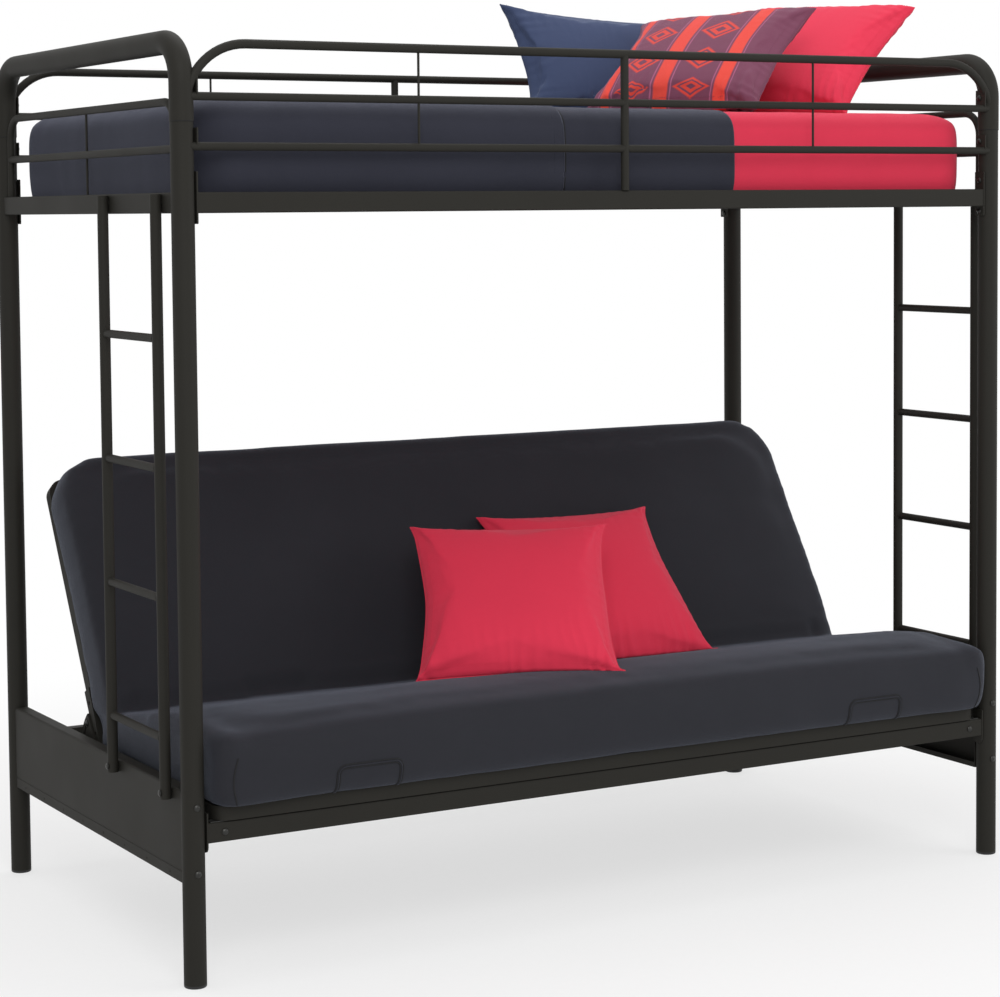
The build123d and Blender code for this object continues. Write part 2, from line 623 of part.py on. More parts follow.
def make_guard_rail(side):
    """Welded guard of one long side, its ends cut to the posts and hoops."""
    y = side * GUARD_Y
    reach = POST_X
    frame = bent(guard_path(y), GUARD_BEND, Circle(GUARD_TOP_D / 2))
    for z in (GUARD_MID_Z, GUARD_LOW_Z):
        frame += bar((-reach, y, z), (reach, y, z), GUARD_BAR_D)
    for x in (-GUARD_ROD_X, GUARD_ROD_X):
        frame += bar((x, y, GUARD_LOW_Z), (x, y, GUARD_TOP_Z), ROD_D)
    frame += bar((0, y, RAIL_TOP_Z), (0, y, GUARD_TOP_Z), GUARD_UPRIGHT_D)
    for end in SIDES:
        frame += guard_tab(end, side, GUARD_MID_Z, GUARD_TAB_HIGH_TOP_Z, HOOP_INNER_X - FIT)
        frame += guard_tab(end, side, GUARD_LOW_Z, GUARD_TAB_LOW_TOP_Z, POST_INNER_X - FIT)
    frame -= bent(guard_path(y), GUARD_BEND, Circle(GUARD_TOP_D / 2 - GUARD_WALL))
    for z in (GUARD_MID_Z, GUARD_LOW_Z):
        frame -= bar((-reach, y, z), (reach, y, z), GUARD_BAR_D - 2 * GUARD_WALL)
    for end in SIDES:
        frame -= post_envelope(end * POST_X, side * POST_Y, FIT)
        frame -= hoop_envelope(end * POST_X, FIT)
        for z, face in ((GUARD_BOLT_HIGH_Z, HOOP_INNER_X), (GUARD_BOLT_LOW_Z, POST_INNER_X)):
            seat = (end * (face - FIT - PLATE_THICKNESS), side * POST_Y, z)
            frame -= hole(seat, (end, 0, 0), BOLT_HOLE_D, POST_R)
        frame -= box_between(
            end * (POST_X - GUARD_TOP_D / 2),
            end * (POST_X + POST_D),
            y - POST_D,
            y + POST_D,
            GUARD_LOW_Z - POST_D,
            HOOP_TOP_Z,
        )
    return frame


def guard_tab(end, side, low_z, high_z, outer_x):
    """Bolting tab at the end of the guard."""
    outer_y = side * (GUARD_Y + GUARD_BAR_D / 2)
    return box_between(
        end * (outer_x - PLATE_THICKNESS),
        end * outer_x,
        outer_y,
        outer_y - side * GUARD_TAB_WIDTH,
        low_z,
        high_z,
    )


def make_end_panel(side):
    """Pressed tray between the posts: lips above and below, flanges at the posts."""
    face = side * PANEL_FACE_X
    inner = side * (PANEL_FACE_X - PANEL_DEPTH)
    skin = side * (PANEL_FACE_X - PANEL_SHEET)
    tray = box_between(face, inner, -PANEL_END_Y, PANEL_END_Y, PANEL_BOTTOM_Z, PANEL_TOP_Z)
    tray = fillet(tray.edges().filter_by(Axis.Y).group_by(Axis.X)[-1 if side > 0 else 0], PANEL_CORNER)
    hollow_half = PANEL_END_Y - PANEL_SHEET
    tray -= box_between(
        skin,
        inner,
        -hollow_half,
        hollow_half,
        PANEL_BOTTOM_Z + PANEL_SHEET,
        PANEL_TOP_Z - PANEL_SHEET,
    )
    for z, up in ((PANEL_TOP_Z - PANEL_SHEET, -1), (PANEL_BOTTOM_Z + PANEL_SHEET, 1)):
        lip_x = inner + side * PANEL_SHEET
        tray += box_between(inner, lip_x, -hollow_half, hollow_half, z, z + up * PANEL_LIP)
    groove_z = PANEL_BOTTOM_Z + PANEL_GROOVE_RISE
    depth_x = side * (PANEL_FACE_X - PANEL_GROOVE_DEPTH)
    tray -= box_between(
        side * (PANEL_FACE_X + FIT),
        depth_x,
        -hollow_half,
        hollow_half,
        groove_z,
        groove_z + PANEL_GROOVE_HEIGHT,
    )
    for k in range(PANEL_DIMPLE_COUNT):
        y = (k - (PANEL_DIMPLE_COUNT - 1) / 2) * PANEL_DIMPLE_PITCH
        seat = (face, y, PANEL_BOTTOM_Z + PANEL_DIMPLE_RISE)
        tray -= hole(seat, (-side, 0, 0), PANEL_DIMPLE_D, PANEL_GROOVE_DEPTH + SEAT_GAP)
    for y in (-PANEL_END_Y, PANEL_END_Y):
        inward = -1 if y > 0 else 1
        for z in (PANEL_BOLT_LOW_Z, PANEL_BOLT_HIGH_Z):
            tray -= hole((side * POST_X, y, z), (0, inward, 0), BOLT_HOLE_D, PANEL_SHEET + NUT_HEIGHT)
    for y in (LADDER_NEAR_Y, LADDER_FAR_Y):
        tray -= hole((face, y, LADDER_BOLT_Z), (-side, 0, 0), BOLT_HOLE_D, PANEL_SHEET + NUT_HEIGHT)
    return tray


def make_ladder(side):
    """Ladder of two closed tubes and four rungs, bolted outside the end."""
    x = side * LADDER_X
    rails = None
    hollow = []
    for y in (LADDER_NEAR_Y, LADDER_FAR_Y):
        rail = bar((x, y, LADDER_BOTTOM_Z), (x, y, LADDER_TOP_Z), LADDER_RAIL_D)
        rails = rail if rails is None else rails + rail
        low = LADDER_BOTTOM_Z + LADDER_WALL
        hollow.append(bar((x, y, low), (x, y, LADDER_TOP_Z - LADDER_WALL), LADDER_RAIL_D - 2 * LADDER_WALL))
    for z in (RUNG_FIRST_Z, RUNG_SECOND_Z, RUNG_THIRD_Z, RUNG_FOURTH_Z):
        rails += bar((x, LADDER_NEAR_Y, z), (x, LADDER_FAR_Y, z), RUNG_D)
    for bore in hollow:
        rails -= bore
    for y in (LADDER_NEAR_Y, LADDER_FAR_Y):
        outer = (x + side * LADDER_RAIL_D / 2, y, LADDER_BOLT_Z)
        rails -= hole(outer, (-side, 0, 0), BOLT_HOLE_D, LADDER_RAIL_D + OVERRUN)
        inner = (x - side * LADDER_RAIL_D / 2, y, LADDER_TOP_BOLT_Z)
        rails -= hole(inner, (side, 0, 0), BOLT_HOLE_D, LADDER_RAIL_D / 2)
    return rails


def make_track(side):
    """Channel with a slot along its top, closed by a plate at each end."""
    x = side * TRACK_X
    mid_z = TRACK_TOP_Z - TRACK_HEIGHT / 2
    half = TRACK_WIDTH / 2
    body = box_between(x - half, x + half, -RAIL_INNER_Y, RAIL_INNER_Y, TRACK_BASE_Z, TRACK_TOP_Z)
    room = half - TRACK_WALL
    inner_y = RAIL_INNER_Y - TRACK_END_THICKNESS
    body -= box_between(x - room, x + room, -inner_y, inner_y, TRACK_BASE_Z + TRACK_WALL, TRACK_TOP_Z - TRACK_WALL)
    slot = TRACK_SLOT / 2
    body -= box_between(x - slot, x + slot, -inner_y, inner_y, mid_z, TRACK_TOP_Z + OVERRUN)
    for end in SIDES:
        body -= hole((x, end * RAIL_INNER_Y, STRETCHER_MID_Z), (0, -end, 0), BOLT_HOLE_D, TRACK_END_THICKNESS + NUT_HEIGHT)
    return body


def make_stretcher_pads():
    """Thin slippery pads where the seat's side tubes cross the front stretcher."""
    top = SEAT_BASE_Z - SEAT_GAP
    pads = []
    for side in SIDES:
        x = side * SEAT_TUBE_X
        half = PAD_LENGTH / 2
        pads.append(
            box_between(x - half, x + half, -POST_Y - PAD_WIDTH / 2, -POST_Y + PAD_WIDTH / 2, STRETCHER_TOP_Z, top)
        )
    return solids_of(pads)


def bolt_groups():
    """Every bolt of the standing frame, grouped by what it holds."""
    groups = {"panel_bolts": [], "rail_bolts": [], "guard_bolts": [], "ladder_bolts": [], "track_bolts": []}
    for side in SIDES:
        for y in (-POST_Y, POST_Y):
            out = 1 if y > 0 else -1
            for z in (PANEL_BOLT_LOW_Z, PANEL_BOLT_HIGH_Z):
                nut = POST_D + FIT + PANEL_SHEET
                seat = (side * POST_X, y + out * POST_R, z)
                groups["panel_bolts"].append(bolt(seat, (0, -out, 0), nut + NUT_HEIGHT, nut))
            for z in (RAIL_BOLT_LOW_Z, RAIL_BOLT_HIGH_Z):
                seat = (side * PLATE_INNER_X, y, z)
                groups["rail_bolts"].append(bolt(seat, (side, 0, 0), PLATE_THICKNESS + FIT + BOLT_GRIP))
            for z, face in ((GUARD_BOLT_HIGH_Z, HOOP_INNER_X), (GUARD_BOLT_LOW_Z, POST_INNER_X)):
                seat = (side * (face - FIT - PLATE_THICKNESS), y, z)
                groups["guard_bolts"].append(bolt(seat, (side, 0, 0), PLATE_THICKNESS + FIT + BOLT_GRIP))
            seat = (side * TRACK_X, y + out * RAIL_WIDTH / 2, STRETCHER_MID_Z)
            grip = RAIL_WIDTH + TRACK_END_THICKNESS
            groups["track_bolts"].append(bolt(seat, (0, -out, 0), grip + NUT_HEIGHT, grip))
        for y in (LADDER_NEAR_Y, LADDER_FAR_Y):
            outer = (side * (LADDER_X + LADDER_RAIL_D / 2), y, LADDER_BOLT_Z)
            grip = LADDER_RAIL_D + SEAT_GAP + PANEL_SHEET
            groups["ladder_bolts"].append(bolt(outer, (-side, 0, 0), grip + NUT_HEIGHT, grip))
            inner = (side * (POST_X - RAIL_WIDTH / 2), y, LADDER_TOP_BOLT_Z)
            groups["ladder_bolts"].append(bolt(inner, (side, 0, 0), RAIL_WIDTH + LADDER_RAIL_D / 2))
    return groups


def tube_frame(half_length, start, end, base, bars, inner_x):
    """U of rectangular tube with cross bars, lying level: bars are (place, height) pairs."""
    x = half_length
    mid = base + SEAT_TUBE_HEIGHT / 2
    points = [(-x, start, mid), (-x, end, mid), (x, end, mid), (x, start, mid)]
    outline = Rectangle(SEAT_TUBE_WIDTH, SEAT_TUBE_HEIGHT)
    bore = Rectangle(SEAT_TUBE_WIDTH - 2 * SEAT_TUBE_WALL, SEAT_TUBE_HEIGHT - 2 * SEAT_TUBE_WALL)
    frame = bent(points, SEAT_TUBE_BEND, outline)
    half = SEAT_TUBE_WIDTH / 2
    for place, height in bars:
        frame += box_between(-inner_x, inner_x, place - half, place + half, base, base + height)
    frame -= bent(points, SEAT_TUBE_BEND, bore)
    towards = -1 if end > start else 1
    for side in SIDES:
        frame += box_between(
            side * (x - half), side * (x + half), start, start - towards * SEAT_TUBE_WALL, base, base + SEAT_TUBE_HEIGHT
        )
    for place, height in bars:
        room = half - SEAT_TUBE_WALL
        frame -= box_between(
            -inner_x, inner_x, place - room, place + room, base + SEAT_TUBE_WALL, base + height - SEAT_TUBE_WALL
        )
    return frame


def wire_mesh(inner_x, y0, y1, top):
    """Wires in two layers: long ones below, short ones across them."""
    hexagon = RegularPolygon(WIRE_WIDTH / 2, 6, major_radius=False)
    wires = []
    low = top - 3 * WIRE_WIDTH / 2
    count = int((y1 - y0) // LONG_WIRE_PITCH)
    first = (y0 + y1) / 2 - (count - 1) * LONG_WIRE_PITCH / 2
    for k in range(count):
        plane = Plane(origin=(-inner_x, first + k * LONG_WIRE_PITCH, low), x_dir=(0, 1, 0), z_dir=(1, 0, 0))
        wires.append(extrude(plane * hexagon, amount=2 * inner_x))
    count = int(2 * inner_x // SHORT_WIRE_PITCH)
    for k in range(count):
        x = (k - (count - 1) / 2) * SHORT_WIRE_PITCH
        plane = Plane(origin=(x, y0, top - WIRE_WIDTH / 2), x_dir=(-1, 0, 0), z_dir=(0, 1, 0))
        wires.append(extrude(plane * hexagon, amount=y1 - y0))
    return solids_of(wires)


def make_glides():
    """Shoes under the seat's side tubes that run in the tracks."""
    foot_base = TRACK_BASE_Z + TRACK_WALL + SEAT_GAP
    foot_top = foot_base + GLIDE_FOOT_HEIGHT
    flange_base = TRACK_TOP_Z + SEAT_GAP
    shoes = []
    for side in SIDES:
        x = side * TRACK_X
        flange_x = side * (SEAT_TUBE_X - (SEAT_TUBE_WIDTH - GLIDE_FLANGE_WIDTH) / 2 - SEAT_TUBE_WALL)
        for y in (GLIDE_FRONT_Y, GLIDE_REAR_Y):
            foot = Pos(x, y, foot_base) * extrude(
                RectangleRounded(GLIDE_FOOT_WIDTH, GLIDE_LENGTH, GLIDE_CORNER), amount=GLIDE_FOOT_HEIGHT
            )
            neck = Pos(x, y, foot_top) * extrude(
                RectangleRounded(GLIDE_NECK_WIDTH, GLIDE_LENGTH, GLIDE_CORNER), amount=flange_base - foot_top
            )
            flange = Pos(flange_x, y, flange_base) * extrude(
                RectangleRounded(GLIDE_FLANGE_WIDTH, GLIDE_LENGTH, GLIDE_CORNER), amount=SEAT_BASE_Z - flange_base
            )
            shoes.append(foot + neck + flange)
    return solids_of(shoes)


def polar(radius, angle):
    """Point about the pivot in the side view, the angle rising from the rear."""
    return (PIVOT_Y + radius * cos(radians(angle)), PIVOT_Z + radius * sin(radians(angle)))


def side_plate(sketch, side, inner_x):
    """Plate in the side view, extruded outwards from its inner face."""
    plane = Plane(origin=(side * inner_x, 0, 0), x_dir=(0, 1, 0), z_dir=(1, 0, 0))
    return extrude(plane * sketch, amount=side * HINGE_PLATE_THICKNESS)


def disc(centre, radius):
    return Pos(*centre) * Circle(radius)


def arc_band(radius, width, low, high):
    """Curved slot about the pivot with round ends."""
    outer = ThreePointArc(
        polar(radius + width / 2, low), polar(radius + width / 2, (low + high) / 2), polar(radius + width / 2, high)
    )
    inner = ThreePointArc(
        polar(radius - width / 2, high), polar(radius - width / 2, (low + high) / 2), polar(radius - width / 2, low)
    )
    band = make_face([outer, Line(outer @ 1, inner @ 0), inner, Line(inner @ 1, outer @ 0)])
    return band + disc(polar(radius, low), width / 2) + disc(polar(radius, high), width / 2)


def make_hinge_plate(side):
    """Seat plate: strip on the seat tube, hub, and a quadrant with the curved stop slot."""
    low = STOP_ANGLE - BACK_ANGLE
    high = STOP_ANGLE
    rim = STOP_RIM_RADIUS
    wide_low = low - STOP_MARGIN_ANGLE
    wide_high = high + STOP_MARGIN_ANGLE
    edge = ThreePointArc(polar(rim, wide_low), polar(rim, (low + high) / 2), polar(rim, wide_high))
    hub = (PIVOT_Y, PIVOT_Z)
    quadrant = make_face([edge, Line(edge @ 1, hub), Line(hub, edge @ 0)])
    strip_y = PIVOT_Y - HINGE_STRIP_LENGTH / 2
    strip = Pos(strip_y, SEAT_BASE_Z + SEAT_TUBE_HEIGHT / 2) * Rectangle(HINGE_STRIP_LENGTH, HINGE_STRIP_HEIGHT)
    outline = quadrant + disc(hub, HUB_RADIUS) + strip
    outline -= arc_band(STOP_RADIUS, STOP_SLOT_WIDTH, low, high)
    outline -= disc(hub, PIN_HOLE_D / 2)
    for back in (HINGE_BOLT_NEAR, HINGE_BOLT_FAR):
        outline -= disc((PIVOT_Y - back, PIVOT_Z), BOLT_HOLE_D / 2)
    return side_plate(outline, side, SEAT_HALF_LENGTH)


def along_back(distance):
    """Point on the middle line of the back in the side view."""
    return polar(distance, BACK_ANGLE)


def make_arm(side):
    """Back plate: strip on the back tube, hub, and a lobe that carries the stop pin."""
    hub = (PIVOT_Y, PIVOT_Z)
    half = HINGE_STRIP_LENGTH / 2
    strip = Pos(*along_back(half)) * Rot(0, 0, BACK_ANGLE) * Rectangle(HINGE_STRIP_LENGTH, HINGE_STRIP_HEIGHT)
    stop = polar(STOP_RADIUS, STOP_ANGLE)
    lobe = disc(stop, STOP_LOBE_RADIUS)
    bridge_mid = polar(STOP_RADIUS, (STOP_ANGLE + BACK_ANGLE) / 2)
    bridge = Pos(*bridge_mid) * Rot(0, 0, (STOP_ANGLE + BACK_ANGLE) / 2) * Rectangle(
        2 * STOP_LOBE_RADIUS, STOP_LOBE_RADIUS + HINGE_STRIP_HEIGHT / 2
    )
    outline = strip + disc(hub, HUB_RADIUS) + lobe + bridge
    outline -= disc(hub, PIN_HOLE_D / 2)
    outline -= disc(stop, PIN_HOLE_D / 2)
    for distance in (HINGE_BOLT_NEAR, HINGE_BOLT_FAR):
        outline -= disc(along_back(distance), BOLT_HOLE_D / 2)
    return side_plate(outline, side, ARM_INNER_X)


def make_pivot_pins():
    """Pivot pins with a head outside and a nut inside the arm plate."""
    pins = []
    for side in SIDES:
        seat = (side * (SEAT_HALF_LENGTH + HINGE_PLATE_THICKNESS + FIT), PIVOT_Y, PIVOT_Z)
        nut = 2 * HINGE_PLATE_THICKNESS + HINGE_PLATE_GAP + 2 * FIT
        pins.append(bolt(seat, (-side, 0, 0), nut + NUT_HEIGHT, nut, PIN_D, PIN_HEAD_D, PIN_HEAD_HEIGHT))
    return solids_of(pins)


def make_stop_pins():
    """Pins in the arm lobes that run in the curved slots."""
    y, z = polar(STOP_RADIUS, STOP_ANGLE)
    grip = 2 * HINGE_PLATE_THICKNESS + HINGE_PLATE_GAP + FIT
    pins = []
    for side in SIDES:
        seat = (side * (SEAT_HALF_LENGTH + HINGE_PLATE_THICKNESS + FIT), y, z)
        pins.append(bolt(seat, (-side, 0, 0), grip, None, PIN_D, PIN_HEAD_D, PIN_HEAD_HEIGHT))
    return solids_of(pins)


def make_seat_bolts():
    """Bolts through the hinge plates into the seat's side tubes."""
    bolts = []
    for side in SIDES:
        for back in (HINGE_BOLT_NEAR, HINGE_BOLT_FAR):
            seat = (side * (SEAT_HALF_LENGTH + HINGE_PLATE_THICKNESS), PIVOT_Y - back, PIVOT_Z)
            bolts.append(bolt(seat, (-side, 0, 0), HINGE_PLATE_THICKNESS + SEAT_TUBE_WALL + BOLT_GRIP))
    return solids_of(bolts)


def drill_seat_tubes(frame):
    for side in SIDES:
        for back in (HINGE_BOLT_NEAR, HINGE_BOLT_FAR):
            seat = (side * SEAT_HALF_LENGTH, PIVOT_Y - back, PIVOT_Z)
            frame -= hole(seat, (-side, 0, 0), BOLT_HOLE_D, SEAT_TUBE_WALL + 2 * SEAT_GAP + BOLT_GRIP / 2)
    return frame


def rounded_slab(shares, size, middle, base, height, corner, grow=0):
    """Stuffed slab: rounded outlines stacked from base to top, drawn in by shares of the height."""
    sections = []
    for level, inset in shares:
        lift = grow if level > 0.5 else 0
        draw = inset * height
        width = size[0] - 2 * draw + 2 * grow
        depth = size[1] - 2 * draw + 2 * grow
        radius = corner - draw / 2 + grow
        plane = Plane(origin=(middle[0], middle[1], base + level * height + lift))
        sections.append(plane * RectangleRounded(width, depth, radius))
    return loft(sections, ruled=True)


def bunk_mattress(grow=0):
    size = (2 * MATTRESS_HALF_LENGTH, 2 * MATTRESS_HALF_WIDTH)
    height = MATTRESS_TOP_Z - SLAT_TOP_Z
    return rounded_slab(MATTRESS_SHARES, size, (0, 0), SLAT_TOP_Z, height, MATTRESS_CORNER, grow)


def make_cover(thickness, x0, x1):
    """Cover that lies on the mattress and hangs down its sides as far as the hem."""
    shell = bunk_mattress(SEAT_GAP + thickness) - bunk_mattress(SEAT_GAP)
    wide = MATTRESS_HALF_WIDTH + OVERRUN
    return shell & box_between(x0, x1, -wide, wide, COVER_HEM_Z, MATTRESS_TOP_Z + OVERRUN)


def fold_point():
    """Where the seat and back halves of the futon meet at the frame."""
    return (PIVOT_Y - FOLD_SETBACK, SEAT_TOP_Z)


def fold_cut(side):
    """Half space on one side of the fold's middle plane: -1 keeps the seat, 1 keeps the back."""
    y, z = fold_point()
    half_turn = radians((180 + BACK_ANGLE) / 2)
    out = Vector(0, sin(half_turn), -cos(half_turn))
    size = 4 * FUTON_HALF_LENGTH
    centre = Vector(0, y, z) + out * (-side * (size / 2 - FOLD_GAP / 2))
    plane = Plane(origin=centre, x_dir=(1, 0, 0), z_dir=out)
    return plane * Box(size, size, size)


def hinge_room(radius):
    """Room that the ends of the futon leave round the hinge plates."""
    inner = ARM_INNER_X - SEAT_GAP
    right = bar((inner, PIVOT_Y, PIVOT_Z), (FUTON_HALF_LENGTH + OVERRUN, PIVOT_Y, PIVOT_Z), 2 * radius)
    return right + mirror(right, about=Plane.YZ)


def make_seat_mattress():
    """Seat half of the futon: bulging front edge, top falling towards the fold."""
    height = FUTON_TOP_Z - SEAT_TOP_Z
    rear = PIVOT_Y + height
    size = (2 * FUTON_HALF_LENGTH, rear - FUTON_FRONT_Y)
    middle = (0, (rear + FUTON_FRONT_Y) / 2)
    slab = rounded_slab(SEAT_SHARES, size, middle, SEAT_TOP_Z, height, FUTON_FRONT_CORNER)
    reach = 4 * FUTON_HALF_LENGTH
    slope = seat_slope().offset(reach / 2) * Box(reach, reach, reach)
    return slab - slope - fold_cut(-1) - hinge_room(HUB_RADIUS + SEAT_GAP)


def make_back_mattress():
    """Back half of the futon, made level in the back's own plane and tilted into place."""
    start = -FUTON_BACK_THICKNESS
    size = (2 * FUTON_HALF_LENGTH, FUTON_BACK_LENGTH - start)
    middle = (0, (FUTON_BACK_LENGTH + start) / 2)
    slab = rounded_slab(BACK_SHARES, size, middle, PIVOT_LIFT, FUTON_BACK_THICKNESS, FUTON_BACK_CORNER)
    return (BACK * slab) - fold_cut(1) - hinge_room(STOP_RIM_RADIUS + SEAT_GAP)


def pillow_outline(width, height, dip):
    """Four corners joined by sides that are drawn in by the dip."""
    x = width / 2
    y = height / 2
    corners = [(-x, -y), (x, -y), (x, y), (-x, y)]
    middles = [(0, -y + dip), (x - dip, 0), (0, y - dip), (-x + dip, 0)]
    sides = [ThreePointArc(corners[k], middles[k], corners[(k + 1) % 4]) for k in range(4)]
    return make_face(sides)


def make_pillow(spot, turn, lean, size, dip, surface):
    """Knife-edge pillow standing on its lower edge, turned about Z and leaning back."""
    width, height, thickness = size
    full = thickness / 2
    rows = [(reach, -rise, pull) for reach, rise, pull in PILLOW_SHARES]
    rows += [(reach, rise, pull) for reach, rise, pull in reversed(PILLOW_SHARES[:-1])]
    sections = []
    for reach, rise, pull in rows:
        outline = pillow_outline(width * reach, height * reach, dip * pull)
        sections.append(Plane.XY.offset(full * rise) * outline)
    body = loft(sections, ruled=True)
    place = Pos(spot[0], spot[1], surface.origin.Z) * Rot(0, 0, turn) * Rot(lean, 0, 0) * Pos(0, height / 2, 0)
    return lower_onto(place * body, surface)


def lower_onto(piece, surface):
    """Move a piece along the surface's normal until it lies just clear of it."""
    lowest = surface.to_local_coords(piece).bounding_box().min.Z
    shift = surface.z_dir * (SEAT_GAP - lowest)
    return Pos(shift.X, shift.Y, shift.Z) * piece


def settle(piece, support):
    """Lower a piece until only the seating gap is left between it and its support."""
    for step in range(SETTLE_STEPS):
        gap = piece.distance_to(support)
        piece = Pos(0, 0, SEAT_GAP - gap) * piece
    return piece


def seat_slope():
    """Plane of the seat mattress's top where it falls towards the fold."""
    run = Vector(0, FUTON_CREASE_Y - FUTON_CROWN_Y, FUTON_CREASE_Z - FUTON_TOP_Z).normalized()
    up = Vector(1, 0, 0).cross(run)
    return Plane(origin=(0, FUTON_CROWN_Y, FUTON_TOP_Z), x_dir=(1, 0, 0), z_dir=up)


def standing_frame():
    for side, end in ((-1, "left"), (1, "right")):
        for front, place in ((-1, "front"), (1, "rear")):
            save(f"{place}_{end}_post", make_post(side * POST_X, front * POST_Y))
        save(f"{end}_end_hoop", make_hoop(side * POST_X))
        save(f"{end}_upper_end_rail", make_end_rail(side * POST_X))
        save(f"{end}_end_guard", make_end_guard(side * POST_X))
        save(f"{end}_end_panel", make_end_panel(side))
        save(f"{end}_ladder", make_ladder(side))
        save(f"{end}_futon_track", make_track(side))
    for front, place in ((-1, "front"), (1, "rear")):
        save(f"{place}_guard_rail", make_guard_rail(front))
        save(f"{place}_side_rail", make_side_rail(front * POST_Y))
        save(f"{place}_stretcher", make_stretcher(front * POST_Y))
    save("foot_caps", *make_caps())
    save("bunk_slats", *make_slats())
    save("stretcher_pads", *make_stretcher_pads())
    for name, bolts in bolt_groups().items():
        save(name, *solids_of(bolts))


def bunk_bedding():
    save("upper_mattress", bunk_mattress())
    left = -MATTRESS_HALF_LENGTH - OVERRUN
    save("duvet", make_cover(DUVET_THICKNESS, left, DUVET_EDGE_X - SEAT_GAP))
    save("blanket", make_cover(BLANKET_THICKNESS, DUVET_EDGE_X, BLANKET_EDGE_X))
    covered = Plane.XY.offset(MATTRESS_TOP_Z + BLANKET_THICKNESS + SEAT_GAP)
    bare = Plane.XY.offset(MATTRESS_TOP_Z)
    blue_size = (BLUE_WIDTH, BLUE_HEIGHT, BLUE_THICKNESS)
    save("blue_pillow", make_pillow((BLUE_X, BLUE_Y), BLUE_TURN, BLUE_LEAN, blue_size, PILLOW_DIP, covered))
    patterned_size = (PATTERNED_WIDTH, PATTERNED_HEIGHT, PATTERNED_THICKNESS)
    patterned_spot = (PATTERNED_X, PATTERNED_Y)
    save(
        "patterned_pillow",
        make_pillow(patterned_spot, PATTERNED_TURN, PATTERNED_LEAN, patterned_size, PILLOW_DIP, covered),
    )
    crimson_size = (CRIMSON_WIDTH, CRIMSON_HEIGHT, CRIMSON_THICKNESS)
    crimson_spot = (CRIMSON_X, CRIMSON_Y)
    save("crimson_pillow", make_pillow(crimson_spot, CRIMSON_TURN, CRIMSON_LEAN, crimson_size, PILLOW_DIP, bare))


def futon_seat():
    bars = ((SEAT_REAR_BAR_Y, SEAT_TUBE_HEIGHT), (SEAT_MID_BAR_Y, SEAT_TUBE_HEIGHT - MID_BAR_DROP))
    front = SEAT_FRONT_Y + SEAT_TUBE_WIDTH / 2
    frame = tube_frame(SEAT_TUBE_X, SEAT_BACK_Y, front, SEAT_BASE_Z, bars, SEAT_INNER_X)
    save("seat_frame", drill_seat_tubes(frame))
    front_face = SEAT_FRONT_Y + SEAT_TUBE_WIDTH
    rear_face = SEAT_REAR_BAR_Y - SEAT_TUBE_WIDTH / 2
    save("seat_mesh", *wire_mesh(SEAT_INNER_X, front_face, rear_face, SEAT_TOP_Z))
    save("seat_glides", *make_glides())
    save("left_hinge_plate", make_hinge_plate(-1))
    save("right_hinge_plate", make_hinge_plate(1))
    save("pivot_pins", *make_pivot_pins())
    save("hinge_plate_bolts", *make_seat_bolts())
    mattress = make_seat_mattress()
    save("seat_mattress", mattress)
    size = (CUSHION_SIDE, CUSHION_SIDE, CUSHION_THICKNESS)
    front_spot = (FRONT_CUSHION_X, FRONT_CUSHION_Y)
    rear_spot = (REAR_CUSHION_X, REAR_CUSHION_Y)
    slope = seat_slope()
    front = make_pillow(front_spot, FRONT_CUSHION_TURN, FRONT_CUSHION_LEAN, size, CUSHION_DIP, slope)
    save("front_cushion", settle(front, mattress))
    rear = make_pillow(rear_spot, REAR_CUSHION_TURN, REAR_CUSHION_LEAN, size, CUSHION_DIP, slope)
    save("rear_cushion", settle(rear, mattress))


def futon_back():
    base = -SEAT_TUBE_HEIGHT / 2
    end = BACK_TUBE_LENGTH - SEAT_TUBE_WIDTH / 2
    bars = ((BACK_BAR_AT, SEAT_TUBE_HEIGHT), (BACK_MID_BAR_AT, SEAT_TUBE_HEIGHT - MID_BAR_DROP))
    save("back_frame", BACK * tube_frame(BACK_TUBE_X, BACK_TUBE_START, end, base, bars, BACK_INNER_X))
    low = BACK_BAR_AT + SEAT_TUBE_WIDTH / 2
    high = BACK_TUBE_LENGTH - SEAT_TUBE_WIDTH
    save("back_mesh", *[BACK * wire for wire in wire_mesh(BACK_INNER_X, low, high, SEAT_TUBE_HEIGHT / 2)])
    save("left_back_arm", make_arm(-1))
    save("right_back_arm", make_arm(1))
    save("stop_pins", *make_stop_pins())
    save("back_mattress", make_back_mattress())


standing_frame()
bunk_bedding()
futon_seat()
futon_back()
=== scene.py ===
from math import cos, pi, radians, sin
from typing import NamedTuple

import bmesh
import bpy
import numpy as np
from bpy.props import FloatProperty, FloatVectorProperty, IntProperty, PointerProperty
from mathutils import Matrix, Vector, noise
from mathutils.bvhtree import BVHTree


